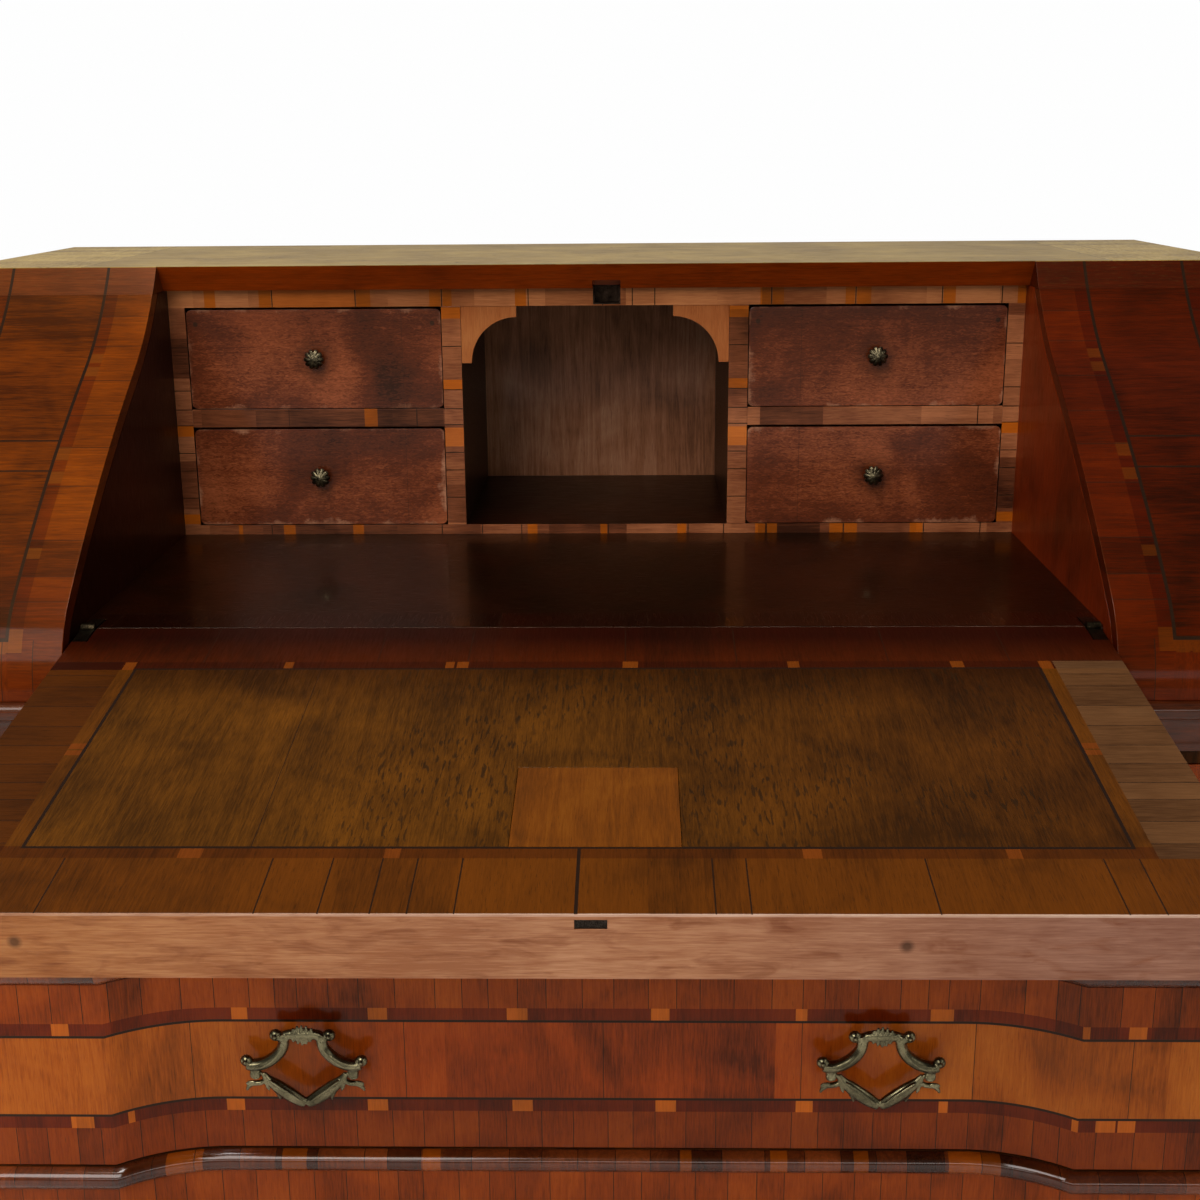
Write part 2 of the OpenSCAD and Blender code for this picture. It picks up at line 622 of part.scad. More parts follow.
// Hinges: one knuckle on the fall and one on the bed, on a pin, with leaves let in flush
hinge_x1 = half_fall - 0.5;
hinge_x0 = hinge_x1 - 2 * knuckle_w;
hinge_mid = (hinge_x0 + hinge_x1) / 2;
module hinge_bed_leaves() color(iron) stand() both_sides() difference() {
    union() {
        rod(hinge_mid + slide_gap / 2, hinge_x1, 0, 0, barrel_r);
        block(hinge_mid + slide_gap / 2, hinge_x1, 0, barrel_r + 1, -leaf_t, 0);
        block(hinge_x0, hinge_x1, barrel_r + 1, leaf_len, -leaf_t, 0);
    }
    rod(hinge_x0 - 1, hinge_x1 + 1, 0, 0, pin_r + 0.02);
}
module hinge_fall_leaves() color(iron) stand() both_sides() difference() {
    union() {
        rod(hinge_x0, hinge_mid - slide_gap / 2, 0, 0, barrel_r);
        fall_block(hinge_x0, hinge_mid - slide_gap / 2, 0, barrel_r + 1, 0, leaf_t);
        fall_block(hinge_x0, hinge_x1, barrel_r + 1, leaf_len, 0, leaf_t);
    }
    rod(hinge_x0 - 1, hinge_x1 + 1, 0, 0, pin_r + pin_gap);
}
module hinge_pins() color(iron) stand() both_sides() rod(hinge_x0, hinge_x1 + 0.3, 0, 0, pin_r);

// Long drawers. The sides join the front with half-blind dovetails.
front_back_y = -centre_out + front_t;
drawer_len = back_y - front_back_y - drawer_room;
front_x = inner_w - case_gap;
tail_deep = front_t * 0.6;
tail_flare = 4;
function drawer_floor(row) = opening_top(row) - drawer_h + slide_gap;
module tails(grow) {
    pitch = (drawer_side_h - 12) / tail_count;
    for (i = [0:tail_count - 1]) {
        mid = 6 + pitch * (i + 0.5);
        half = pitch * 0.28;
        polygon([[1, mid - half + 0.5 - grow], [1, mid + half - 0.5 + grow],
            [-tail_deep - grow, mid + half + tail_flare + grow],
            [-tail_deep - grow, mid - half - tail_flare - grow]]);
    }
}
module drawer_front(row) color(walnut) stand() difference() {
    plan_board(front_x, front_back_y, opening_top(row) - drawer_h + drawer_gap,
        opening_top(row) - drawer_gap);
    both_sides() along_x(front_x - drawer_side_t - 0.15, front_x + 1)
        translate([front_back_y, drawer_floor(row)]) tails(0.15);
    for (x = [-handle_x, handle_x]) for (u = [-ear_x, ear_x])
        translate([x + u, front_back_y + 1, handle_z(row)]) rotate([90, 0, 0])
            cylinder(h = front_t + 10, r = post_r, $fn = 24);
}
module drawer_box(row) color(softwood) stand() translate([0, front_back_y, drawer_floor(row)]) {
    both_sides() along_x(front_x - drawer_side_t, front_x) {
        square([drawer_len, drawer_side_h]);
        tails(0);
    }
    block(-front_x + 1, front_x - 1, drawer_len - drawer_side_t, drawer_len,
        drawer_bottom_t, drawer_side_h - 10);
    block(-front_x + 1, front_x - 1, 0, drawer_len - 1, drawer_bottom_t, 2 * drawer_bottom_t);
}
module top_drawer_front() drawer_front(0);
module middle_drawer_front() drawer_front(1);
module bottom_drawer_front() drawer_front(2);
module top_drawer_box() drawer_box(0);
module middle_drawer_box() drawer_box(1);
module bottom_drawer_box() drawer_box(2);

// Handles: an openwork plate of two C-scrolls and a ribbed shell, on posts through the drawer
// front. The leafy bail swings in the turned collars at the foot of the scrolls. Plate and bail
// are each drawn about the bail's axis and brought to their width.
ear_x = 0.37 * handle_w;
post_r = 2.5;
ear_r = 4.2;
ear_w = 2 * ear_r;
scroll_path = [[50, 9], [44, 7], [37, 7.5], [30, 11], [23, 17], [18, 25], [16.5, 33], [18.5, 39]];
scroll_radii = [3.4, 3.6, 3.5, 3.5, 3.4, 3.3, 3.2, 3];
volute_r = 6.2;
rib_count = 5;
shell_z = 38.5;
spindle_path = [[-18, 37], [-9, 38], [0, shell_z], [9, 38], [18, 37]];
spindle_radii = [3.2, 4.4, 7, 4.4, 3.2];
function handle_z(row) = opening_top(row) - drawer_h / 2 - handle_drop;
module at_handle(side, row) translate([side * handle_x, -centre_out - handle_out, handle_z(row)]) children();
module volute(x, z) translate([x, 0, z]) rotate([90, 0, 0]) sphere(r = volute_r, $fn = 9);
module rib(i) let (h = 9.5 - 1.1 * i * i)
    tube([[4.8 * i, shell_z - h], [5.2 * i, shell_z], [5.8 * i, shell_z + h]], [1.6, 3.6, 1.8]);
// The collar is turned: each point of its outline holds a radius and a height over its width
collar = [[0, -1.2], [0.8, -1.2], [1.1, -0.9], [0.8, -0.6], [0.8, 0.5], [1.1, 0.8], [0.8, 1.1],
    [0.7, 1.9], [0, 1.9]];
module handle_plate() difference() {
    union() {
        resize([handle_w, 0, 0], auto = true) union() {
            both_sides() {
                tube(scroll_path, scroll_radii);
                volute(50.5, 12.5);
                volute(23, 37.5);
            }
            tube(spindle_path, spindle_radii);
            for (i = [-(rib_count - 1) / 2:(rib_count - 1) / 2]) rib(i);
        }
        both_sides() translate([ear_x, 0, 0]) {
            rotate_extrude($fn = 48) polygon(ear_r * collar);
            translate([0, handle_out + front_t, 0]) rotate([90, 0, 0])
                cylinder(h = handle_out + front_t - ear_r / 2, r = post_r, $fn = 24);
        }
    }
    both_sides() rod(ear_x - ear_w, ear_x + ear_w, 0, 0, pivot_r + pin_gap);
}
module handle_plates(row) color(brass) stand() for (side = [-1, 1]) at_handle(side, row) handle_plate();
module top_handle_plates() handle_plates(0);
module middle_handle_plates() handle_plates(1);
module bottom_handle_plates() handle_plates(2);

arm_start = 35;
arm_path = [[arm_start, 0], [32, -5], [27, -9.5], [20, -15.5], [12, -22], [5, -28], [0, -31.5]];
arm_radii = [2.3, 3, 3.6, 4.4, 4.6, 3.8, 3];
leaf_path = [[32, -8], [39, -10.8], [46, -11], [50, -14], [52, -18.5]];
leaf_radii = [1.8, 2.4, 2.4, 2.2, 0.9];
tip_path = [[27, -11], [25.5, -18], [22, -27.5]];
tip_radii = [2, 2.4, 0.7];
module bail(side, row) color(brass) stand() at_handle(side, row) {
    resize([0.9 * handle_w, 0, 0], auto = true) both_sides() {
        tube(arm_path, arm_radii);
        tube(leaf_path, leaf_radii);
        tube(tip_path, tip_radii);
    }
    both_sides() rod(arm_start - 1, ear_x + ear_w / 2, 0, 0, pivot_r);
}
module top_left_bail() bail(-1, 0);
module top_right_bail() bail(1, 0);
module middle_left_bail() bail(-1, 1);
module middle_right_bail() bail(1, 1);
module bottom_left_bail() bail(-1, 2);
module bottom_right_bail() bail(1, 2);

// Small drawers of the gallery
small_len = gallery_deep - gallery_back_t - small_front_t - 3;
small_x = (small_in + small_out) / 2;
module at_small(side, row) translate([side * small_x, gallery_y + 1, small_z(row)]) children();
small_half = (small_out - small_in) / 2 - small_gap;
knob_z = small_h / 2;
module small_front(side, row) color(walnut) stand() at_small(side, row) difference() {
    block(-small_half, small_half, 0, small_front_t, small_gap, small_h - small_gap);
    translate([0, small_front_t + 1, knob_z]) rotate([90, 0, 0])
            cylinder(h = small_front_t + 2, r = knob_stem_r, $fn = 24);
}
module small_box(side, row) color(softwood) stand() at_small(side, row)
translate([0, small_front_t, slide_gap]) {
    wall_h = small_h - 12;
    difference() {
        block(-small_half, small_half, 0, small_len, 0, wall_h);
        block(-small_half + small_side_t, small_half - small_side_t, -1, small_len - small_side_t,
            small_bottom_t, wall_h + 1);
    }
}
// A knob is a fluted rosette on a stem through the drawer front. Each ring of its body holds a
// radius and a height, and every other column of it is drawn in.
knob_stem_r = 2.5;
knob_rings = [[4.5, 0], [3.8, 3], [0.7 * knob_r, 5], [knob_r, 8], [0.9 * knob_r, 11], [0.45 * knob_r, 12.8]];
module knob_body() {
    n = 2 * knob_flutes;
    m = len(knob_rings);
    rings = [for (k = knob_rings) for (j = [0:n - 1])
        let (a = 360 * j / n, r = k[0] * (j % 2 == 0 ? 1 : 0.88)) [r * cos(a), r * sin(a), k[1]]];
    sides = [for (i = [0:m - 2]) for (j = [0:n - 1]) each [
        [i * n + j, (i + 1) * n + j, i * n + (j + 1) % n],
        [i * n + (j + 1) % n, (i + 1) * n + j, (i + 1) * n + (j + 1) % n]]];
    ends = [for (j = [0:n - 1]) each [[m * n, j, (j + 1) % n],
        [m * n + 1, (m - 1) * n + (j + 1) % n, (m - 1) * n + j]]];
    polyhedron(concat(rings, [[0, 0, 0], [0, 0, knob_rings[m - 1][1] + 0.4]]), concat(sides, ends),
        convexity = 4);
}
module knob(side, row) color(brass) stand() at_small(side, row) translate([0, 0, knob_z]) rotate([90, 0, 0]) {
    knob_body();
    translate([0, 0, -small_front_t]) cylinder(h = small_front_t + 3, r = knob_stem_r, $fn = 24);
}
module upper_left_small_front() small_front(-1, 1);
module upper_right_small_front() small_front(1, 1);
module lower_left_small_front() small_front(-1, 0);
module lower_right_small_front() small_front(1, 0);
module upper_left_small_box() small_box(-1, 1);
module upper_right_small_box() small_box(1, 1);
module lower_left_small_box() small_box(-1, 0);
module lower_right_small_box() small_box(1, 0);
module upper_left_knob() knob(-1, 1);
module upper_right_knob() knob(1, 1);
module lower_left_knob() knob(-1, 0);
module lower_right_knob() knob(1, 0);

left_side();
right_side();
back_boards();
top_board();
carcase_bottom();
wing_panels();
cheeks();
writing_bed();
waist_rail();
waist_moulding();
drawer_rails();
bead_mouldings();
base_moulding();
bracket_feet();
drawer_runners();
loper_guides();
gallery_case();
gallery_dividers();
gallery_shelves();
gallery_spandrels();
gallery_back();
lock_keeper();
hinge_bed_leaves();
hinge_pins();
fall_board();
lock_case();
lock_patch();
escutcheon();
hinge_fall_leaves();
lock_bolt();
left_loper();
right_loper();
top_drawer_front();
middle_drawer_front();
bottom_drawer_front();
top_drawer_box();
middle_drawer_box();
bottom_drawer_box();
top_handle_plates();
middle_handle_plates();
bottom_handle_plates();
top_left_bail();
top_right_bail();
middle_left_bail();
middle_right_bail();
bottom_left_bail();
bottom_right_bail();
upper_left_small_front();
upper_right_small_front();
lower_left_small_front();
lower_right_small_front();
upper_left_small_box();
upper_right_small_box();
lower_left_small_box();
lower_right_small_box();
upper_left_knob();
upper_right_knob();
lower_left_knob();
lower_right_knob();
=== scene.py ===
"""Slant-front desk: the looks of its walnut, inlay and brass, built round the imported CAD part."""

import json
import math

import bpy
from mathutils import Matrix, Vector

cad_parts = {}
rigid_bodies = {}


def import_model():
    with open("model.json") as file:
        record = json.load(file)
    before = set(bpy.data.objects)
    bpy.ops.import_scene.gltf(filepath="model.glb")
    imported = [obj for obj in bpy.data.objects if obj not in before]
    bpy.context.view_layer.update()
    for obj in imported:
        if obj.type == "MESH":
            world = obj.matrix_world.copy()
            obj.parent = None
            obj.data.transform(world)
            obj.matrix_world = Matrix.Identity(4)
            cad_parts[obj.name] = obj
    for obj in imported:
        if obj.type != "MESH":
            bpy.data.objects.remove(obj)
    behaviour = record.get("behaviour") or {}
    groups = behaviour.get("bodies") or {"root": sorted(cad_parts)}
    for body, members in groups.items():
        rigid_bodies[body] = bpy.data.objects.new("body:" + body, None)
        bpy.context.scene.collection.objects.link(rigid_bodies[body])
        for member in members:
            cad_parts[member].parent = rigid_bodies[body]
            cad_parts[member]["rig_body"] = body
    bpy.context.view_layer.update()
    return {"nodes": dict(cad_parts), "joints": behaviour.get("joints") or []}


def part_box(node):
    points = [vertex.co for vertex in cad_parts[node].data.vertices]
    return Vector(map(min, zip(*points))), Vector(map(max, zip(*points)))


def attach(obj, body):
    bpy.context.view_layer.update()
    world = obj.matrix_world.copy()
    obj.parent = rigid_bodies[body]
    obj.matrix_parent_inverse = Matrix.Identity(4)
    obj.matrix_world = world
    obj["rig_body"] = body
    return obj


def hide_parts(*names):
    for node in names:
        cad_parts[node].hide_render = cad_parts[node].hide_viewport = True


bl_info = {
    "name": "Slant-front desk",
    "version": (1, 0, 0),
    "blender": (4, 5, 0),
    "location": "View3D > Sidebar > Desk",
    "description": "Veneers, inlay, cast handles and studio of a walnut slant-front desk",
    "category": "Object",
}

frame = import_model()
MM = 0.001

# Places that come from the part. The hinge line's middle is the origin of every pattern.
BED_LOW, BED_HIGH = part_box("writing_bed")
HINGE = Vector((0, BED_LOW.y - 0.6 * MM, BED_HIGH.z))
FALL_TILT = math.radians(8.2)
FALL_LEN = (HINGE.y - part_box("fall_board")[0].y) / MM / math.cos(FALL_TILT)
GALLERY_LOW, GALLERY_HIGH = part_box("gallery_case")
GALLERY_Y = (GALLERY_LOW.y - HINGE.y) / MM
GALLERY_H = (GALLERY_HIGH.z - HINGE.z) / MM
HALF_OPEN = GALLERY_HIGH.x / MM
ROWS = ("top", "middle", "bottom")
ROW_TOPS = [(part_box(row + "_drawer_front")[1].z - HINGE.z) / MM for row in ROWS]
ROW_PITCH = ROW_TOPS[0] - ROW_TOPS[1]


def linear(colour):
    """A colour as linear RGBA, from an sRGB code. One that is linear already stays as it is."""
    if not isinstance(colour, str):
        return tuple(colour)
    parts = [int(colour[i:i + 2], 16) / 255 for i in (1, 3, 5)]
    return tuple(v / 12.92 if v <= 0.04045 else ((v + 0.055) / 1.055) ** 2.4 for v in parts) + (1.0,)


def dimmed(colour, share):
    """A colour at a share of its strength."""
    return tuple(min(1.0, v * share) for v in linear(colour)[:3]) + (1.0,)


class DeskColours(bpy.types.PropertyGroup):
    """Colours of the woods and metals"""
    walnut_deep: bpy.props.FloatVectorProperty(
        name="Walnut, dark figure", description="Dark streaks of the walnut veneer", subtype="COLOR",
        size=4, min=0, max=1, default=linear("#4e1f05"))
    walnut_body: bpy.props.FloatVectorProperty(
        name="Walnut", description="Body colour of the walnut veneer", subtype="COLOR",
        size=4, min=0, max=1, default=linear("#94460b"))
    walnut_light: bpy.props.FloatVectorProperty(
        name="Walnut, light figure", description="Light streaks of the walnut veneer", subtype="COLOR",
        size=4, min=0, max=1, default=linear("#b8661c"))
    golden: bpy.props.FloatVectorProperty(
        name="Faded walnut", description="Body colour of the writing surface", subtype="COLOR",
        size=4, min=0, max=1, default=linear("#633806"))
    orange: bpy.props.FloatVectorProperty(
        name="Plum wood blocks", description="Colour of the small inlaid blocks", subtype="COLOR",
        size=4, min=0, max=1, default=linear("#c26014"))
    stringing: bpy.props.FloatVectorProperty(
        name="Stringing", description="Colour of the dark inlaid lines", subtype="COLOR",
        size=4, min=0, max=1, default=linear("#1e110a"))
    bronze: bpy.props.FloatVectorProperty(
        name="Handles", description="Colour of the old brass", subtype="COLOR",
        size=4, min=0, max=1, default=linear("#8a8060"))


class DeskSizes(bpy.types.PropertyGroup):
    """Sizes of details and strength of the light"""
    softening: bpy.props.FloatProperty(
        name="Worn edges", description="Width of the worn edges of the woodwork", unit="LENGTH",
        default=0.9 * MM, min=0.2 * MM, max=2 * MM, precision=4)
    casting: bpy.props.FloatProperty(
        name="Casting detail", description="Size of the smallest form on the handles", unit="LENGTH",
        default=0.7 * MM, min=0.5 * MM, max=1.5 * MM, precision=4)
    flutes: bpy.props.IntProperty(
        name="Flutes", description="Number of flutes on each small knob", default=10, min=6, max=14)
    pore_depth: bpy.props.FloatProperty(
        name="Pores", description="How deep the pores and cracks look", default=0.5, min=0, max=1,
        subtype="FACTOR")
    lamp: bpy.props.FloatProperty(
        name="Lamp", description="Power of the large soft lamp", unit="POWER", default=60, min=5, max=200)


# The veneer's patterns, counted per millimetre across the grain, along which they are drawn out.
# Walnut's fibres and pores are finer than a pixel of the render, so they are drawn as coarse as shows.
FIGURE_PER_MM = 0.045
FIBRES_PER_MM = 0.9
PORES_PER_MM = 1.7
CLOUDS_PER_MM = 0.011
RIPPLES_PER_MM = (0.16, 0.16, 0.5)
ALONG_GRAIN = 1 / 16
STRETCH = {"X": (ALONG_GRAIN, 1, 1), "Y": (1, ALONG_GRAIN, 1), "Z": (1, 1, ALONG_GRAIN)}
# Into how many contour lines the figure is bent, and how far, in millimetres, it may jump from one
# length of veneer to the next
CONTOURS = 11.0
PIECE_JUMP = 400.0
# The metal's tarnish has specks as fine as a casting's sand
SPECKS_PER_MM = 1.4
# Marks of use and age: streaks, flecks, patches of flecks and stains of the fall, worn rims of the small
# fronts, and cracks of the top with the areas that have them
STREAKS_PER_MM = 0.09
FLECKS_PER_MM = 0.42
PATCHES_PER_MM = 0.012
STAINS_PER_MM = 0.016
WEAR_PER_MM = 0.035
CRACKS_PER_MM = 0.07
CRACKED_PER_MM = 0.03
# Lengths of veneer differ in width by this share, and half a joint between them is this many millimetres
UNEVEN = 0.85
SEGMENT_JOINT = 0.32


def add(tree, kind, links=None, out=0, **settings):
    """Adds a node with its settings, values and links, and gives one of its outputs.

    Sockets go by number or name, a value may be a colour code, and stops are those of a ramp.
    """
    node = tree.nodes.new("ShaderNode" + kind)
    for key, value in settings.items():
        if key == "stops":
            ramp = node.color_ramp.elements
            while len(ramp) < len(value):
                ramp.new(0.5)
            for stop, (place, colour) in zip(ramp, value):
                stop.position = place
                stop.color = linear(colour)
        else:
            setattr(node, key, value)
    for key, value in (links or {}).items():
        if isinstance(value, bpy.types.NodeSocket):
            tree.links.new(value, node.inputs[key])
        else:
            node.inputs[key].default_value = linear(value) if isinstance(value, str) else value
    return node.outputs[out] if node.outputs else node


def fold(tree, operation, *values):
    """Joins several masks or values into one by an operation, two at a time."""
    total = values[0]
    for value in values[1:]:
        total = add(tree, "Math", {0: total, 1: value}, operation=operation)
    return total


def within(tree, value, *ranges):
    """1 where the value lies in one of the ranges, else 0."""
    hits = [add(tree, "Math", {0: value, 1: (low + high) / 2, 2: (high - low) / 2}, operation="COMPARE")
            for low, high in ranges]
    return fold(tree, "MAXIMUM", *hits)


def lines_at(tree, value, spots, width):
    """1 on lines of this width at these places, else 0."""
    return within(tree, value, *[(spot - width / 2, spot + width / 2) for spot in spots])


def segments(tree, value, size, shift=0.0):
    """Cuts a length into pieces of uneven width: a random number for each piece, and its joints."""
    along = add(tree, "Math", {0: value, 1: 1 / size, 2: shift}, operation="MULTIPLY_ADD")
    cells = {"W": along, "Scale": 1.0, "Randomness": UNEVEN}
    tone = add(tree, "TexVoronoi", cells, out=1, voronoi_dimensions="1D")
    edge = add(tree, "TexVoronoi", cells, voronoi_dimensions="1D", feature="DISTANCE_TO_EDGE")
    joint = add(tree, "Math", {0: edge, 1: SEGMENT_JOINT / size}, operation="LESS_THAN")
    return add(tree, "SeparateXYZ", {0: tone}), joint


def places(tree, turn=0.0):
    """Object coordinates in millimetres from the hinge line, turned about it."""
    spin = Matrix.Rotation(turn, 3, "X")
    shift = -(spin @ HINGE) / MM
    here = add(tree, "TexCoord", out=3)
    spot = add(tree, "Mapping", {"Vector": here, "Location": shift, "Rotation": (turn, 0, 0),
                                 "Scale": (1 / MM, 1 / MM, 1 / MM)})
    return spot, *add(tree, "SeparateXYZ", {0: spot}).node.outputs


def new_material(name):
    """A node material and its tree, which is still empty."""
    material = bpy.data.materials.new(name)
    material.use_nodes = True
    tree = material.node_tree
    tree.nodes.clear()
    return material, tree


def finish_material(tree, shader, height=None, distance=0.4 * MM, strength=0.5):
    """Joins the shader to the output, with a bump where a height is given."""
    if height is not None:
        bump = add(tree, "Bump", {"Height": height, "Strength": strength, "Distance": distance})
        tree.links.new(bump, shader.node.inputs["Normal"])
    add(tree, "OutputMaterial", {"Surface": shader})


def wood(name, colours, grain="X", layout=None, turn=0.0, figure=1.0, flecks=0.35, rough=(0.30, 0.5),
         polish=0.15, mirror=0.09, curly=0.0, cloudy=0.6, fine=0.34):
    """A veneer: figure, fibres and pores stretched along the grain, with what the layout inlays.

    The layout is given the tree and X, Y, Z in millimetres. It gives back a dict that may hold a
    mask where the grain runs across and its direction, a tone for each piece, tints as pairs of
    mask and colour, inlays as a mask with a dark and a light colour, and grooves.
    """
    material, tree = new_material(name)
    depth = bpy.context.scene.desk_sizes.pore_depth
    spot, x, y, z = places(tree, turn)
    plan = layout(tree, x, y, z) if layout else {}
    run = add(tree, "VectorMath", {0: spot, 1: STRETCH[grain]}, operation="MULTIPLY")
    if "across" in plan:
        mask, direction = plan["across"]
        other = add(tree, "VectorMath", {0: spot, 1: STRETCH[direction]}, operation="MULTIPLY")
        run = add(tree, "Mix", {0: mask, 4: run, 5: other}, out=1, data_type="VECTOR")
    if "tone" in plan:
        jump = add(tree, "Math", {0: plan["tone"], 1: PIECE_JUMP}, operation="MULTIPLY")
        run = add(tree, "VectorMath", {0: run, 1: jump}, operation="ADD")
    # Broad figure bent into contour lines, fine fibres, pores, slow clouds and a ripple
    broad = add(tree, "TexNoise", {"Vector": run, "Scale": FIGURE_PER_MM, "Detail": 3.0,
                                   "Distortion": 0.9})
    rings = add(tree, "Math", {0: broad, 1: CONTOURS}, operation="MULTIPLY")
    rings = add(tree, "Math", {0: rings, 1: 1.0}, operation="PINGPONG")
    fibres = add(tree, "TexNoise", {"Vector": run, "Scale": FIBRES_PER_MM, "Detail": 4.0, "Roughness": 0.6})
    pores = add(tree, "TexNoise", {"Vector": run, "Scale": PORES_PER_MM, "Detail": 1.0})
    pores = add(tree, "MapRange", {0: pores, 1: 0.62, 2: 0.74})
    clouds = add(tree, "TexNoise", {"Vector": spot, "Scale": CLOUDS_PER_MM, "Detail": 3.0, "Distortion": 0.6})
    parts = [(rings, 0.13 * figure), (fibres, fine), (clouds, cloudy)]
    if curly:
        across_grain = add(tree, "VectorMath", {0: spot, 1: RIPPLES_PER_MM}, operation="MULTIPLY")
        ripple = add(tree, "TexNoise", {"Vector": across_grain, "Scale": 1.0, "Detail": 2.0,
                                        "Distortion": 1.6})
        parts.append((ripple, curly))
    if "tone" in plan:
        parts.append((plan["tone"], 0.26))
    tone = 0.5 - sum(share for part, share in parts) / 2
    for part, share in parts:
        tone = add(tree, "Math", {0: part, 1: share, 2: tone}, operation="MULTIPLY_ADD")
    deep, body, light = colours
    paint = add(tree, "ValToRGB", {0: tone}, stops=[(0.28, deep), (0.5, body), (0.76, light)])
    for mask, tint in plan.get("tints", []):
        paint = add(tree, "Mix", {0: mask, 6: paint, 7: tint}, out=2, data_type="RGBA",
                    blend_type="MULTIPLY")
    dark = add(tree, "Math", {0: pores, 1: flecks}, operation="MULTIPLY")
    paint = add(tree, "Mix", {0: dark, 6: paint, 7: dimmed(deep, 0.35)}, out=2, data_type="RGBA")
    shade = add(tree, "MapRange", {0: tone, 1: 0.3, 2: 0.75})
    for mask, darker, lighter in plan.get("inlays", []):
        grained = add(tree, "Mix", {0: shade, 6: darker, 7: lighter}, out=2, data_type="RGBA")
        paint = add(tree, "Mix", {0: mask, 6: paint, 7: grained}, out=2, data_type="RGBA")
    grooves = plan.get("grooves")
    if grooves is not None:
        line = bpy.context.scene.desk_colours.stringing
        paint = add(tree, "Mix", {0: grooves, 6: paint, 7: tuple(line)}, out=2, data_type="RGBA")
    # Dust in the pores and cracks is dull, the rest is polished
    gloss = add(tree, "MapRange", {0: fibres, 1: 0.3, 2: 0.7, 3: rough[1], 4: rough[0]})
    height = add(tree, "Math", {0: pores, 1: -0.5 * depth, 2: 0.0}, operation="MULTIPLY_ADD")
    height = add(tree, "Math", {0: fibres, 1: 0.3 * depth, 2: height}, operation="MULTIPLY_ADD")
    if grooves is not None:
        height = add(tree, "Math", {0: grooves, 1: -1.2 * depth, 2: height}, operation="MULTIPLY_ADD")
    shader = add(tree, "BsdfPrincipled", {
        "Base Color": paint, "Roughness": gloss, "IOR": 1.5, "Specular IOR Level": 0.18,
        "Specular Tint": "#e6a862", "Coat Weight": polish, "Coat Roughness": mirror,
        "Coat Tint": "#fff0cf"})
    finish_material(tree, shader, height)
    return material


def metal(name, bright, dull, rough=(0.28, 0.55), scale=0.16, dents=0.3):
    """Old metal: bright where it is rubbed and dull in the hollows."""
    material, tree = new_material(name)
    spot = places(tree)[0]
    clouds = add(tree, "TexNoise", {"Vector": spot, "Scale": scale, "Detail": 4.0, "Roughness": 0.6})
    specks = add(tree, "TexNoise", {"Vector": spot, "Scale": SPECKS_PER_MM, "Detail": 3.0})
    worn = add(tree, "Math", {0: clouds, 1: specks}, operation="MULTIPLY")
    paint = add(tree, "ValToRGB", {0: worn}, stops=[(0.16, dull), (0.36, bright)])
    gloss = add(tree, "MapRange", {0: specks, 1: 0.35, 2: 0.65, 3: rough[1], 4: rough[0]})
    shader = add(tree, "BsdfPrincipled", {"Base Color": paint, "Metallic": 1.0, "Roughness": gloss})
    finish_material(tree, shader, specks, 0.15 * MM, dents)
    return material


# Places of the inlay, in millimetres from the hinge line's middle
PANEL_X, PANEL_REAR, PANEL_FRONT = 349, 78.5, 332
STRIP = 11
LINE = 2.4
ROUND_STRIP = STRIP + LINE
# Widths of the dark joints between lengths of veneer, from wide to fine
WIDE_JOINT, JOINT, FINE_JOINT = 1.0, 0.9, 0.6
# How far a mask reaches past a piece's edge, and a place beyond every piece
PAST, FAR = 5, 900
# The fall's inner face lies at 0, and this depth parts what the inner face shows from the outer face
FALL_MIDDLE = 12.0
FALL_SEAM, FALL_CRACK = (2, 4.2), (-205, -204.5)
FALL_KNOTS = [(-333, 20), (199, 22)]
FALL_BLOCKS_FRONT = [(-249, -234), (-119, -109), (143, 155), (270, 279)]
FALL_BLOCKS_REAR = [(-361, -352), (-235, -228), (-109, -102), (-100, -91), (29, 41), (157, 166), (283, 293),
                    (351, 361)]
FALL_BLOCKS_SIDE = [(197, 205), (207, 214)]
FALL_JOINTS_FRONT = [-319, -188, -150, -119, -97, -69, 86, 107, 218, 328, 350]
FALL_JOINTS_REAR = [-300, -163, -92, 31, 118, 236, 330]
DRAWER_BLOCKS_TOP = [(-465, -450), (-316, -302), (-196, -179), (-74, -56), (52, 68), (178, 188), (295, 315),
                     (419, 425), (458, 473)]
DRAWER_BLOCKS_FOOT = [(-456, -436), (-408, -403), (-326, -310), (-200, -182), (-71, -53), (56, 74),
                      (180, 195), (306, 314), (416, 421), (436, 453), (455, 470)]
DRAWER_JOINTS = [-353, -165, 10, 184, 335, 463, 540, -520]
DRAWER_LINES = [(50, 52.4), (126.8, 129.2)]
DRAWER_STRIPS = [(38.5, 50), (129.2, 140.5)]
DRAWER_MIDDLE = 90.0
# A row of drawers starts this far above its fronts. Its blocks are shifted from those of the next row
# and its random lengths differ, by row and by band.
ROW_EDGE, ROW_SHIFT, ROW_SEED, BAND_SEED = 1.2, 29.0, 977.0, 313.0
WING_LINES = [(464.2, 467), (556, 558.8)]
WING_STRIPS = [(453, 464.2), (558.8, 570)]
WING_BLOCKS = [(180, 187), (190, 197), (120, 129), (104, 112), (54, 61), (-9, 8), (262, 271)]
WING_FOOT, WING_FOOT_LINE = (-10, 0), (-1, 1.6)
WING_FOOT_BLOCKS = [(466, 477), (479, 486), (541, 552)]
WING_CRACKS = [(112, 113), (133, 134)]
CAP_BLOCKS = [(-384, -373), (-330, -318), (-234, -220), (-162, -151), (-149, -140), (-78, -67), (162, 172),
              (174, 185), (245, 254), (256, 270), (340, 352), (412, 420)]
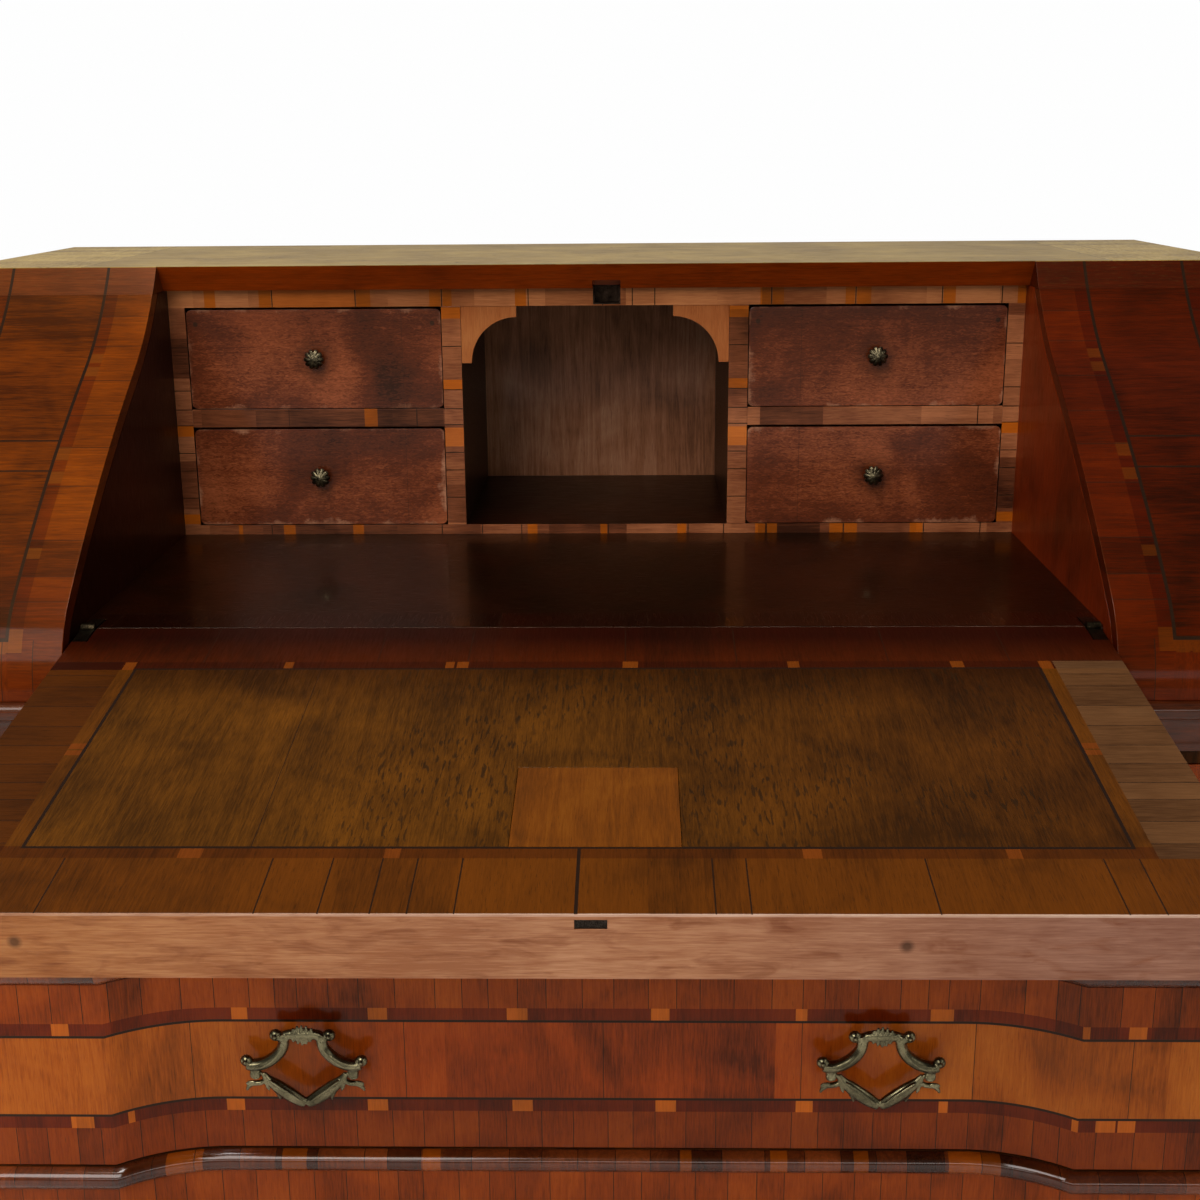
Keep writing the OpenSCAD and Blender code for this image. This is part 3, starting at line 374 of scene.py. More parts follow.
CAP_JOINTS = [-317, -235, -150, -65, 8, 37, 59, 173, 255, 339, 397]
FLOOR_BLOCKS = [(-365, -361), (-319, -307), (-248, -237), (-70, -60), (4, 11), (82, 91), (161, 171),
                (173, 183), (236, 250), (251, 264), (317, 330)]
FLOOR_JOINTS = [-331, -157, -116, -76, 12, 93, 129, 172, 250, 331, 388]
INNER_POST_BLOCKS = [(217, 228), (147, 157)]
OUTER_POST_BLOCKS = [(101, 112), (11, 21)]
POST_JOINTS = [147, 128, 112, 66, 38, 190, 84]
CAP_HEIGHT, FLOOR_HEIGHT, FACE_DEPTH = 17.8, 9.6, 1.5
SHELF_X, SHELF_Z = (151.5, 403.5), (100, 140)
SHELF_BLOCK = (-231, -218)
SHELF_JOINTS = [(-179, -178), (-307, -306.4), (379, 380)]
INNER_POSTS, POST_PITCH = 200.0, 60
GOLDEN_CAP, GOLDEN_POST = (-316.5, -235.5), (90, 109)
BEAD_BLOCKS = [(-380, -349), (-278, -256), (-152, -136), (78, 88), (158, 173), (232, 245), (316, 361)]
BEAD_MIDDLE, BEAD_SHIFT = -396.0, 41.0
BED_BAND, BED_SEAM = 41.0, (40.6, 41.4)
SMALL_JOINTS = [(-191, -190.6), (203, 203.4)]
SIDE_PANEL_Y, SIDE_PANEL_Z, SIDE_LINE = (60, 560), (-640, -60), 3
TOP_LIP, TOP_ENDS = 24.0, 492.0
TOP_SEAMS = [(491.6, 492.4), (524, 524.6)]


def block_colours(share):
    """Dark and light colour of the small blocks, dimmed by a share."""
    orange = bpy.context.scene.desk_colours.orange
    return dimmed(orange, 0.5 * share), dimmed(orange, 1.25 * share)


def grown(span, by):
    """A range made longer at both ends."""
    return span[0] - by, span[1] + by


def inlaid_frame(tree, across, along, width, length):
    """Masks of a panel, the dark line round it and the strip round that, from the panel's ranges."""
    panel, line_box, strip_box = (
        fold(tree, "MULTIPLY", within(tree, across, grown(width, by)), within(tree, along, grown(length, by)))
        for by in (0, LINE, ROUND_STRIP))
    return panel, fold(tree, "SUBTRACT", line_box, panel), fold(tree, "SUBTRACT", strip_box, line_box)


def fall_free_edge(tree, x, s, n, edge):
    """The fall's free edge: warm at the left, with streaks and knots, a painted sheen at the right and a
    painted highlight along its arris.
    """
    # The right part's pale pinkish grey is a painted sheen
    left, right = (fold(tree, "MULTIPLY", edge, add(tree, "MapRange", {0: x, 1: start, 2: end, 4: 0.8}))
                   for start, end in ((-60, -380), (60, 300)))
    along = add(tree, "CombineXYZ", {0: fold(tree, "MULTIPLY", x, 0.3), 1: n, 2: 9.0})
    streaks = add(tree, "TexNoise", {"Vector": along, "Scale": STREAKS_PER_MM, "Detail": 4.0,
                                     "Distortion": 0.8})
    streaks = fold(tree, "MULTIPLY", edge, add(tree, "MapRange", {0: streaks, 1: 0.54, 2: 0.7, 4: 0.55}))
    # A pale line along the upper arris, brighter towards the middle, is a painted highlight
    arris_highlight = fold(tree, "MULTIPLY", within(tree, n, (-3, 1.3)),
                 within(tree, s, (FALL_LEN - 1.3, FALL_LEN + PAST)),
                 add(tree, "MapRange", {0: x, 1: -420, 2: 60, 3: 0.15, 4: 0.7}))
    knots = []
    for knot_x, knot_n in FALL_KNOTS:
        away = add(tree, "VectorMath", {0: add(tree, "CombineXYZ", {0: x, 1: n}), 1: (knot_x, knot_n, 0)},
                   out=1, operation="DISTANCE")
        knots.append(add(tree, "MapRange", {0: away, 1: 5.5, 2: 2.0, 4: 0.75}))
    knots = fold(tree, "MULTIPLY", fold(tree, "MAXIMUM", *knots), edge)
    return [(edge, "#8a5638", "#d29e78"), (left, "#84481a", "#cc8c4c"), (right, "#70483a", "#a87c6a"),
            (streaks, "#5e2c14", "#9a5830"), (arris_highlight, "#b8927c", "#ecd4c4"), (knots, "#24140c", "#4a2a18")]


def fall_flecks(tree, x, s, panel):
    """Short dark flecks along the grain of the panel, in patches, and none at its left end."""
    along = add(tree, "CombineXYZ", {0: x, 1: fold(tree, "MULTIPLY", s, 0.14)})
    dashes = add(tree, "TexNoise", {"Vector": along, "Scale": FLECKS_PER_MM, "Detail": 2.0,
                                    "Distortion": 0.5})
    dashes = add(tree, "MapRange", {0: dashes, 1: 0.56, 2: 0.63, 4: 0.8})
    patches = add(tree, "CombineXYZ", {0: x, 1: s, 2: 40.0})
    patches = add(tree, "TexNoise", {"Vector": patches, "Scale": PATCHES_PER_MM})
    patches = add(tree, "MapRange", {0: patches, 1: 0.4, 2: 0.56})
    plainer = add(tree, "MapRange", {0: x, 1: -250, 2: -130})
    return fold(tree, "MULTIPLY", dashes, patches, plainer, panel)


def fall_layout(tree, x, s, n):
    """The fall: a faded panel, stringing, a strip with blocks and crossbanding.

    s runs from the hinge line to the free edge, and n from the inner face to the outer one.
    """
    panel, line, strip = inlaid_frame(tree, x, s, (-PANEL_X, PANEL_X), (PANEL_REAR, PANEL_FRONT))
    side = add(tree, "Math", {0: x}, operation="ABSOLUTE")
    beside = within(tree, side, (PANEL_X + ROUND_STRIP, FAR))
    between = within(tree, s, grown((PANEL_REAR, PANEL_FRONT), ROUND_STRIP))
    side_band = fold(tree, "MULTIPLY", beside, between)
    front = within(tree, s, (PANEL_FRONT, FALL_LEN + PAST))
    rear = within(tree, s, (-PAST, PANEL_REAR))
    front_tone = segments(tree, x, 62, 3.1)[0]
    side_tone, side_joint = segments(tree, s, 27, 7.7)
    joints = fold(tree, "MAXIMUM",
                  fold(tree, "MULTIPLY", side_joint, side_band),
                  fold(tree, "MULTIPLY", lines_at(tree, x, FALL_JOINTS_FRONT, JOINT),
                       within(tree, s, (PANEL_FRONT + ROUND_STRIP, FALL_LEN + PAST))),
                  fold(tree, "MULTIPLY", lines_at(tree, x, FALL_JOINTS_REAR, FINE_JOINT),
                       within(tree, s, (-PAST, PANEL_REAR - ROUND_STRIP))),
                  fold(tree, "MULTIPLY", beside,
                       within(tree, s, (PANEL_REAR - ROUND_STRIP - 0.4, PANEL_REAR - ROUND_STRIP))),
                  fold(tree, "MULTIPLY", within(tree, x, FALL_SEAM), front),
                  fold(tree, "MULTIPLY", within(tree, x, FALL_CRACK), panel))
    tone = fold(tree, "ADD", fold(tree, "MULTIPLY", side_tone, side_band),
                fold(tree, "MULTIPLY", front_tone, fold(tree, "SUBTRACT", 1.0, side_band)))
    tone = add(tree, "Math", {0: fold(tree, "SUBTRACT", tone, 0.5), 1: 0.45, 2: 0.5},
               operation="MULTIPLY_ADD")
    tone = fold(tree, "MULTIPLY", tone, fold(tree, "SUBTRACT", 1.0, panel))
    blocks = fold(tree, "MAXIMUM",
                  fold(tree, "MULTIPLY", within(tree, x, *FALL_BLOCKS_FRONT), front),
                  fold(tree, "MULTIPLY", within(tree, x, *FALL_BLOCKS_REAR), rear),
                  fold(tree, "MULTIPLY", within(tree, s, *FALL_BLOCKS_SIDE),
                       within(tree, side, (PANEL_X, PANEL_X + ROUND_STRIP))))
    blocks = fold(tree, "MULTIPLY", blocks, strip)
    inner = add(tree, "Math", {0: n, 1: FALL_MIDDLE}, operation="LESS_THAN")
    outer = fold(tree, "SUBTRACT", 1.0, inner)
    edge = add(tree, "Math", {0: s, 1: FALL_LEN - 0.7}, operation="GREATER_THAN")
    rest = fold(tree, "SUBTRACT", 1.0, fold(tree, "MAXIMUM", edge, outer))
    # The right side band is painted lighter and greyer: a painted sheen
    right_half = add(tree, "Math", {0: x, 1: 0.0}, operation="GREATER_THAN")
    right_band_sheen = fold(tree, "MULTIPLY", side_band, rest, right_half, 0.48)
    hinge_line = fold(tree, "MULTIPLY", rest, within(tree, s, (-PAST, 0.9)))
    # Darker places: old stains, a band near the hinges and one behind the panel, and painted shade that
    # darkens the panel towards the right, away from the key lamp
    stain = add(tree, "TexNoise", {"Vector": add(tree, "CombineXYZ", {0: x, 1: s}),
                                   "Scale": STAINS_PER_MM, "Detail": 2.5})
    stain = add(tree, "MapRange", {0: stain, 1: 0.6, 2: 0.76, 4: 0.5})
    near = add(tree, "MapRange", {0: s, 1: 60, 2: 20})
    behind = add(tree, "MapRange", {0: s, 1: PANEL_REAR + 75, 2: PANEL_REAR + 5, 4: 0.75})
    shade_to_right = add(tree, "MapRange", {0: x, 1: -60, 2: 330, 4: 0.75})
    tints = [(strip, "#dccfae"), (side_band, "#b09a68"), (outer, "#e0986a")]
    for mask, area, tint in ((rear, rest, "#9c6640"), (stain, rest, "#6c6a4c"), (near, rest, "#9a6650"),
                             (front, rest, "#dcc698"), (behind, panel, "#907c68"),
                             (shade_to_right, panel, "#c4b0a0")):
        tints.append((fold(tree, "MULTIPLY", mask, area), tint))
    return {
        "across": (fold(tree, "MAXIMUM", side_band, edge), "X"),
        "tone": fold(tree, "MULTIPLY", tone, rest),
        "tints": tints,
        "inlays": [(hinge_line, "#7a5c46", "#ccb09a"), (right_band_sheen, "#3e2410", "#8a6440"),
                   (blocks, *block_colours(0.3)), *fall_free_edge(tree, x, s, n, edge),
                   (fall_flecks(tree, x, s, panel), "#1c1005", "#3a2208")],
        "grooves": fold(tree, "MULTIPLY", fold(tree, "MAXIMUM", line, joints),
                        fold(tree, "SUBTRACT", 1.0, edge)),
    }


def drawer_layout(tree, x, y, z):
    """A long drawer's front: banding, strips with blocks, stringing and a bright field.

    t runs down each row from its upper edge, and u along it from its own middle.
    """
    down = fold(tree, "SUBTRACT", ROW_TOPS[0] + ROW_EDGE, z)
    row = add(tree, "Math", {0: fold(tree, "MULTIPLY", down, 1 / ROW_PITCH)}, operation="FLOOR")
    t = add(tree, "Math", {0: down, 1: ROW_PITCH}, operation="MODULO")
    # Each row's blocks and joints are shifted a little, the middle row's are as measured
    slide = add(tree, "Math", {0: row, 1: ROW_SHIFT, 2: -ROW_SHIFT}, operation="MULTIPLY_ADD")
    u = fold(tree, "ADD", x, slide)
    field = within(tree, t, (DRAWER_LINES[0][1], DRAWER_LINES[1][0]))
    line = within(tree, t, *DRAWER_LINES)
    strip = within(tree, t, *DRAWER_STRIPS)
    band = fold(tree, "SUBTRACT", 1.0, fold(tree, "ADD", field, line))
    upper = add(tree, "Math", {0: t, 1: DRAWER_MIDDLE}, operation="LESS_THAN")
    lower = fold(tree, "SUBTRACT", 1.0, upper)
    seed = fold(tree, "MULTIPLY", row, ROW_SEED)
    band_x = fold(tree, "ADD", u, seed, fold(tree, "MULTIPLY", upper, BAND_SEED))
    tone, joint = segments(tree, band_x, 27, 0.4)
    field_tone = segments(tree, fold(tree, "ADD", u, seed), 150, 5.3)[0]
    tone = add(tree, "Math", {0: fold(tree, "MULTIPLY", tone, band), 1: 0.6,
                              2: fold(tree, "MULTIPLY", band, 0.2)}, operation="MULTIPLY_ADD")
    tone = fold(tree, "ADD", tone, fold(tree, "MULTIPLY", field_tone, field))
    blocks = fold(tree, "MAXIMUM",
                  fold(tree, "MULTIPLY", within(tree, u, *DRAWER_BLOCKS_TOP), upper),
                  fold(tree, "MULTIPLY", within(tree, u, *DRAWER_BLOCKS_FOOT), lower))
    blocks = fold(tree, "MULTIPLY", blocks, strip)
    side = add(tree, "Math", {0: x}, operation="ABSOLUTE")
    middle = add(tree, "MapRange", {0: side, 1: 330, 2: 160})
    # The lower band is painted darker than the upper one, whose lighter tone is a painted sheen
    return {
        "tone": tone,
        "tints": [(band, "#dcbc9a"), (strip, "#c09886"), (fold(tree, "MULTIPLY", band, lower), "#e4dcd8"),
                  (fold(tree, "MULTIPLY", middle, field), "#eec29c")],
        "inlays": [(blocks, *block_colours(0.85))],
        "grooves": fold(tree, "MAXIMUM", line,
                        fold(tree, "MULTIPLY", joint, band, fold(tree, "SUBTRACT", 1.0, strip)),
                        fold(tree, "MULTIPLY", lines_at(tree, u, DRAWER_JOINTS, FINE_JOINT), field)),
    }


def wing_layout(tree, x, y, z):
    """A wing beside the opening: two strips and two lines between three bands."""
    side = add(tree, "Math", {0: x}, operation="ABSOLUTE")
    above = add(tree, "Math", {0: z, 1: 0.0}, operation="GREATER_THAN")
    low = fold(tree, "SUBTRACT", 1.0, above)
    foot = within(tree, z, WING_FOOT)
    between = within(tree, side, (WING_LINES[0][0], WING_LINES[1][1]))
    line = fold(tree, "MAXIMUM", fold(tree, "MULTIPLY", within(tree, side, *WING_LINES), above),
                fold(tree, "MULTIPLY", within(tree, z, WING_FOOT_LINE), between))
    strip = fold(tree, "MAXIMUM", fold(tree, "MULTIPLY", within(tree, side, *WING_STRIPS), above),
                 fold(tree, "MULTIPLY", foot, within(tree, side, (WING_STRIPS[0][0], WING_STRIPS[1][1]))))
    field = fold(tree, "MULTIPLY", within(tree, side, (WING_LINES[0][1], WING_LINES[1][0])), above)
    band = fold(tree, "SUBTRACT", 1.0, field)
    tone, joint = segments(tree, z, 26, 2.2)
    foot_tone, foot_joint = segments(tree, x, 30, 8.8)
    blocks = fold(tree, "MULTIPLY", strip, fold(
        tree, "MAXIMUM", within(tree, z, *WING_BLOCKS),
        fold(tree, "MULTIPLY", foot, within(tree, side, *WING_FOOT_BLOCKS))))
    below = fold(tree, "MULTIPLY", low, within(tree, side, (WING_STRIPS[0][1], FAR)))
    # The right wing is painted darker and its blocks dimmer: painted shade, away from the key lamp
    right = add(tree, "Math", {0: x, 1: 0.0}, operation="GREATER_THAN")
    left_foot = fold(tree, "MULTIPLY", fold(tree, "SUBTRACT", 1.0, right),
                     add(tree, "MapRange", {0: z, 1: 90, 2: 20}))
    outer_band = fold(tree, "MULTIPLY", within(tree, side, (WING_STRIPS[1][1], FAR)), above)
    return {
        "across": (below, "Z"),
        "tone": fold(tree, "ADD", fold(tree, "MULTIPLY", tone, band, above, 0.5),
                     fold(tree, "MULTIPLY", foot_tone, low)),
        "tints": [(strip, "#d9c0ac"), (right, "#b48070"), (outer_band, "#b4907c"), (left_foot, "#c49c84")],
        "inlays": [(add(tree, "MapRange", {0: right, 3: blocks, 4: fold(tree, "MULTIPLY", blocks, 0.45)}),
                    *block_colours(0.28))],
        "grooves": fold(tree, "MAXIMUM", line, fold(tree, "MULTIPLY", joint, band, above, 0.6),
                        fold(tree, "MULTIPLY", foot_joint, low),
                        fold(tree, "MULTIPLY", field, within(tree, z, *WING_CRACKS))),
    }


def cheek_shade_layout(tree, x, y, z):
    """The cheeks: the left one is painted darker, as painted shade, since it faces away from the key lamp."""
    left = add(tree, "Math", {0: x, 1: 0.0}, operation="LESS_THAN")
    return {"tints": [(left, "#563a30")]}


def gallery_layout(tree, x, y, z):
    """The gallery's front edges: short lengths of veneer with blocks and dark joints."""
    face = add(tree, "Math", {0: y, 1: GALLERY_Y + FACE_DEPTH}, operation="LESS_THAN")
    cap = add(tree, "Math", {0: z, 1: GALLERY_H - CAP_HEIGHT}, operation="GREATER_THAN")
    floor = add(tree, "Math", {0: z, 1: FLOOR_HEIGHT}, operation="LESS_THAN")
    side = add(tree, "Math", {0: x}, operation="ABSOLUTE")
    shelf = fold(tree, "MULTIPLY", within(tree, side, SHELF_X), within(tree, z, SHELF_Z))
    post = fold(tree, "SUBTRACT", 1.0, fold(tree, "MAXIMUM", cap, floor, shelf))
    run_tone = segments(tree, x, 70, 1.5)[0]
    # Each post has its own lengths
    which = add(tree, "Math", {0: fold(tree, "MULTIPLY", x, 1 / POST_PITCH)}, operation="FLOOR")
    which = add(tree, "Math", {0: which, 1: 37.0, 2: z}, operation="MULTIPLY_ADD")
    post_tone = segments(tree, which, 44, 6.1)[0]
    inner_post = add(tree, "Math", {0: side, 1: INNER_POSTS}, operation="LESS_THAN")
    inner_post = fold(tree, "MULTIPLY", post, inner_post)
    outer_post = fold(tree, "SUBTRACT", post, inner_post)
    blocks = fold(tree, "MAXIMUM", fold(tree, "MULTIPLY", cap, within(tree, x, *CAP_BLOCKS)),
                  fold(tree, "MULTIPLY", floor, within(tree, x, *FLOOR_BLOCKS)),
                  fold(tree, "MULTIPLY", inner_post, within(tree, z, *INNER_POST_BLOCKS)),
                  fold(tree, "MULTIPLY", outer_post, within(tree, z, *OUTER_POST_BLOCKS)),
                  fold(tree, "MULTIPLY", shelf, within(tree, x, SHELF_BLOCK)))
    joints = fold(tree, "MAXIMUM",
                  fold(tree, "MULTIPLY", cap, lines_at(tree, x, CAP_JOINTS, WIDE_JOINT)),
                  fold(tree, "MULTIPLY", floor, lines_at(tree, x, FLOOR_JOINTS, WIDE_JOINT)),
                  fold(tree, "MULTIPLY", post, lines_at(tree, z, POST_JOINTS, JOINT)),
                  fold(tree, "MULTIPLY", shelf, within(tree, x, *SHELF_JOINTS)))
    tone = fold(tree, "ADD", fold(tree, "MULTIPLY", run_tone, fold(tree, "SUBTRACT", 1.0, post)),
                fold(tree, "MULTIPLY", post_tone, post))
    golden = fold(tree, "MAXIMUM", fold(tree, "MULTIPLY", cap, within(tree, x, GOLDEN_CAP)),
                  fold(tree, "MULTIPLY", inner_post, within(tree, z, GOLDEN_POST)))
    # Every face behind the front edges is painted much darker: painted shade inside the pigeonholes and the
    # compartment
    return {
        "tone": fold(tree, "MULTIPLY", tone, face),
        "tints": [(fold(tree, "SUBTRACT", 1.0, face), "#54403a")],
        "inlays": [(fold(tree, "MULTIPLY", cap, face, 0.55), "#884826", "#cc8450"),
                   (fold(tree, "MULTIPLY", golden, face), "#803c12", "#b86426"),
                   (fold(tree, "MULTIPLY", blocks, face), *block_colours(0.62))],
        "grooves": fold(tree, "MULTIPLY", joints, face),
    }


def bead_layout(tree, x, y, z):
    """A bead: short dark lengths, some of them orange, with fine joints."""
    tone, joint = segments(tree, x, 33, 9.4)
    upper = add(tree, "Math", {0: z, 1: BEAD_MIDDLE}, operation="GREATER_THAN")
    u = fold(tree, "ADD", x, fold(tree, "MULTIPLY", upper, BEAD_SHIFT))
    return {"tone": tone, "inlays": [(within(tree, u, *BEAD_BLOCKS), *block_colours(0.5))],
            "grooves": joint}


def rail_layout(tree, x, y, z):
    """A rail's or moulding's veneer in short lengths."""
    tone, joint = segments(tree, x, 58, 4.4)
    return {"tone": tone, "grooves": joint}


def bed_layout(tree, x, y, z):
    """The fixed bed: a strip of crossbanding along its front."""
    front = add(tree, "Math", {0: y, 1: BED_BAND}, operation="LESS_THAN")
    tone, joint = segments(tree, x, 96, 2.7)
    return {"across": (front, "Y"), "tone": fold(tree, "MULTIPLY", tone, front),
            "tints": [(front, "#c8a090")],
            "grooves": fold(tree, "MAXIMUM", within(tree, y, BED_SEAM), fold(tree, "MULTIPLY", joint, front))}


def small_layout(tree, x, y, z):
    """A small drawer's front: figured veneer with a let-in piece, worn rims and old nail holes."""
    side = add(tree, "Math", {0: x}, operation="ABSOLUTE")
    low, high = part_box("upper_right_small_front")
    middle, half = (low.x + high.x) / 2 / MM, (high.x - low.x) / 2 / MM
    away_x = add(tree, "Math", {0: fold(tree, "SUBTRACT", side, middle)}, operation="ABSOLUTE")
    rims, halos = [], []
    for node in ("upper_right_small_front", "lower_right_small_front"):
        foot, head = (corner.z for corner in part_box(node))
        off = fold(tree, "SUBTRACT", z, ((foot + head) / 2 - HINGE.z) / MM)
        off = add(tree, "Math", {0: off}, operation="ABSOLUTE")
        rims.append(fold(tree, "SUBTRACT", (head - foot) / 2 / MM, off))
        from_knob = add(tree, "CombineXYZ", {0: away_x, 1: off})
        away = add(tree, "VectorMath", {0: from_knob}, out=1, operation="LENGTH")
        halos.append((add(tree, "MapRange", {0: away, 1: 26.0, 2: 9.0, 4: 0.6}), from_knob))
    rim = fold(tree, "MINIMUM", fold(tree, "SUBTRACT", half, away_x), fold(tree, "MAXIMUM", *rims))
    patchy = add(tree, "TexNoise", {"Vector": add(tree, "CombineXYZ", {0: x, 2: z}),
                                    "Scale": WEAR_PER_MM, "Detail": 5.0, "Roughness": 0.7})
    rim = add(tree, "Math", {0: patchy, 1: -40.0, 2: fold(tree, "ADD", rim, 22.5)},
              operation="MULTIPLY_ADD")
    worn = add(tree, "MapRange", {0: rim, 1: 4.0, 2: -1.0, 4: 0.7})
    # A hole near each corner of the upper fronts, and knobs that have darkened the wood round them
    tall = (high.z - low.z) / 2 / MM
    nail = add(tree, "VectorMath", {0: halos[0][1], 1: (half - 8.5, tall - 15.5, 0.0)}, out=1,
               operation="DISTANCE")
    above = add(tree, "Math", {0: z, 1: 170.0}, operation="GREATER_THAN")
    nail = fold(tree, "MULTIPLY", add(tree, "MapRange", {0: nail, 1: 2.9, 2: 1.9, 4: 0.85}), above)
    halo = fold(tree, "MAXIMUM", *[mask for mask, from_knob in halos])
    head_z = (high.z - HINGE.z) / MM
    # The upper fronts are painted darker towards their top: painted shade
    top_shade = add(tree, "MapRange", {0: z, 1: head_z - 62, 2: head_z - 12})
    return {"tints": [(halo, "#7a6258"), (top_shade, "#d8c8c4")],
            "inlays": [(worn, "#6a3c26", "#b08064"), (nail, "#120a07", "#2a1a12")],
            "grooves": fold(tree, "MULTIPLY", within(tree, x, *SMALL_JOINTS), 0.6)}


def side_layout(tree, x, y, z):
    """The side of the case: an upright panel inside a line and crossbanding."""
    inside, line_box = (
        fold(tree, "MULTIPLY", within(tree, y, grown(SIDE_PANEL_Y, by)),
             within(tree, z, grown(SIDE_PANEL_Z, by)))
        for by in (0, SIDE_LINE))
    uprights = within(tree, y, (-40, SIDE_PANEL_Y[0] - SIDE_LINE), (SIDE_PANEL_Y[1] + SIDE_LINE, 700))
    uprights = fold(tree, "MULTIPLY", uprights, fold(tree, "SUBTRACT", 1.0, line_box))
    tone, joint = segments(tree, z, 60, 3.3)
    return {"across": (uprights, "Y"),
            "tone": fold(tree, "MULTIPLY", tone, fold(tree, "SUBTRACT", 1.0, inside)),
            "tints": [(inside, "#d9a48c")],
            "grooves": fold(tree, "MAXIMUM", fold(tree, "SUBTRACT", line_box, inside),
                            fold(tree, "MULTIPLY", joint, uprights))}


def top_layout(tree, x, y, z):
    """The top: faded boards between crossbanded ends, with the fine cracks of an old finish."""
    side = add(tree, "Math", {0: x}, operation="ABSOLUTE")
    under = add(tree, "Math", {0: z, 1: GALLERY_H + TOP_LIP}, operation="LESS_THAN")
    on_top = fold(tree, "SUBTRACT", 1.0, under)
    ends = fold(tree, "MULTIPLY", on_top, add(tree, "Math", {0: side, 1: TOP_ENDS}, operation="GREATER_THAN"))
    tone = segments(tree, y, 31)[0]
    wing = fold(tree, "MULTIPLY", under, within(tree, side, (HALF_OPEN, FAR)))
    # The wing's part at the right is painted darker: painted shade, as on the wings
    right = add(tree, "Math", {0: x, 1: 0.0}, operation="GREATER_THAN")
    spot = add(tree, "CombineXYZ", {0: fold(tree, "MULTIPLY", x, 0.35), 1: y})
    cracks = add(tree, "TexVoronoi", {"Vector": spot, "Scale": CRACKS_PER_MM, "Randomness": 1.0},
                 feature="DISTANCE_TO_EDGE")
    cracks = add(tree, "Math", {0: cracks, 1: 0.02}, operation="LESS_THAN")
    cracked = add(tree, "TexNoise", {"Vector": spot, "Scale": CRACKED_PER_MM})
    cracked = add(tree, "Math", {0: cracked, 1: 0.58}, operation="GREATER_THAN")
    cracks = fold(tree, "MAXIMUM", fold(tree, "MULTIPLY", cracks, cracked, 0.45),
                  within(tree, side, *TOP_SEAMS))
    return {"across": (ends, "Y"), "tone": fold(tree, "MULTIPLY", tone, ends, 0.4),
            "tints": [(fold(tree, "SUBTRACT", under, wing), "#cc6226"), (wing, "#985636"),
                      (fold(tree, "MULTIPLY", wing, right), "#b47c6c")],
            "grooves": fold(tree, "MAXIMUM", fold(tree, "MULTIPLY", wing, within(tree, side, *WING_LINES)),
                            fold(tree, "MULTIPLY", on_top, cracks))}


def select_only(*objects):
    """Selects these objects and makes the last one active."""
    if bpy.context.object and bpy.context.object.mode != "OBJECT":
        bpy.ops.object.mode_set(mode="OBJECT")
    bpy.ops.object.select_all(action="DESELECT")
    for thing in objects:
        thing.select_set(True)
    bpy.context.view_layer.objects.active = objects[-1]


def own_copy(source, name):
    """A copy with its own mesh, without the parent and the frame's marks of its source."""
    select_only(source)
    bpy.ops.object.duplicate(linked=False)
    twin = bpy.context.active_object
    twin.name = twin.data.name = name
    twin.parent = None
    for key in [k for k in twin.keys() if k.startswith("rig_")]:
        del twin[key]
    return twin


def paint_with(thing, material):
    """Gives a piece its material."""
    thing.data.materials.clear()
    thing.data.materials.append(material)


def apply_modifier(thing, kind, **settings):
    """Adds a modifier with its settings and applies it."""
    select_only(thing)
    bpy.ops.object.modifier_add(type=kind)
    change = thing.modifiers[-1]
    for key, value in settings.items():
        setattr(change, key, value)
    bpy.ops.object.modifier_apply(modifier=change.name)


def round_corners(piece, radius):
    """Rounds the four corners of a front, whose edges run from front to back."""
    bpy.ops.mesh.select_all(action="DESELECT")
    bpy.ops.mesh.select_mode(type="EDGE")
    bpy.ops.object.mode_set(mode="OBJECT")
    points = [v.co for v in piece.data.vertices]
    ends = [(min(p[i] for p in points), max(p[i] for p in points)) for i in (0, 2)]
    for edge in piece.data.edges:
        a, b = (points[i] for i in edge.vertices)
        along = abs(a.x - b.x) < 0.01 * MM and abs(a.z - b.z) < 0.01 * MM
        edge.select = along and all(min(abs(a[i] - end) for end in pair) < 0.1 * MM
                                    for i, pair in zip((0, 2), ends))
    bpy.ops.object.mode_set(mode="EDIT")
    bpy.ops.mesh.bevel(offset=radius, segments=5)


def dress(node, material, softening=None, keen=35.0, corners=0):
    """A CAD node's merged copy with worn edges and smooth curves, which stands for it."""
    source = frame["nodes"][node]
    piece = own_copy(source, node + "_finish")
    bpy.ops.object.mode_set(mode="EDIT")
    bpy.ops.mesh.select_all(action="SELECT")
    bpy.ops.mesh.remove_doubles(threshold=0.005 * MM)
    bpy.ops.mesh.customdata_custom_splitnormals_clear()
    bpy.ops.mesh.dissolve_limited(angle_limit=math.radians(0.5))
    if corners:
        round_corners(piece, corners)
    bpy.ops.object.mode_set(mode="OBJECT")
    width = bpy.context.scene.desk_sizes.softening if softening is None else softening
    if width:
        apply_modifier(piece, "BEVEL", width=width, segments=2, limit_method="ANGLE",
                       angle_limit=math.radians(keen), use_clamp_overlap=True)
    select_only(piece)
    bpy.ops.object.shade_smooth_by_angle(angle=math.radians(40))
    apply_modifier(piece, "WEIGHTED_NORMAL", keep_sharp=True, weight=60)
    paint_with(piece, material)
    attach(piece, source["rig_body"])
    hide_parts(node)
    return piece


def dress_all(nodes, material, softening=None, keen=35.0):
    """Dresses several CAD nodes with one material."""
    for node in nodes:
        dress(node, material, softening, keen)


def walnut_colours():
    """Deep, body and light walnut as chosen."""
    colours = bpy.context.scene.desk_colours
    return colours.walnut_deep, colours.walnut_body, colours.walnut_light


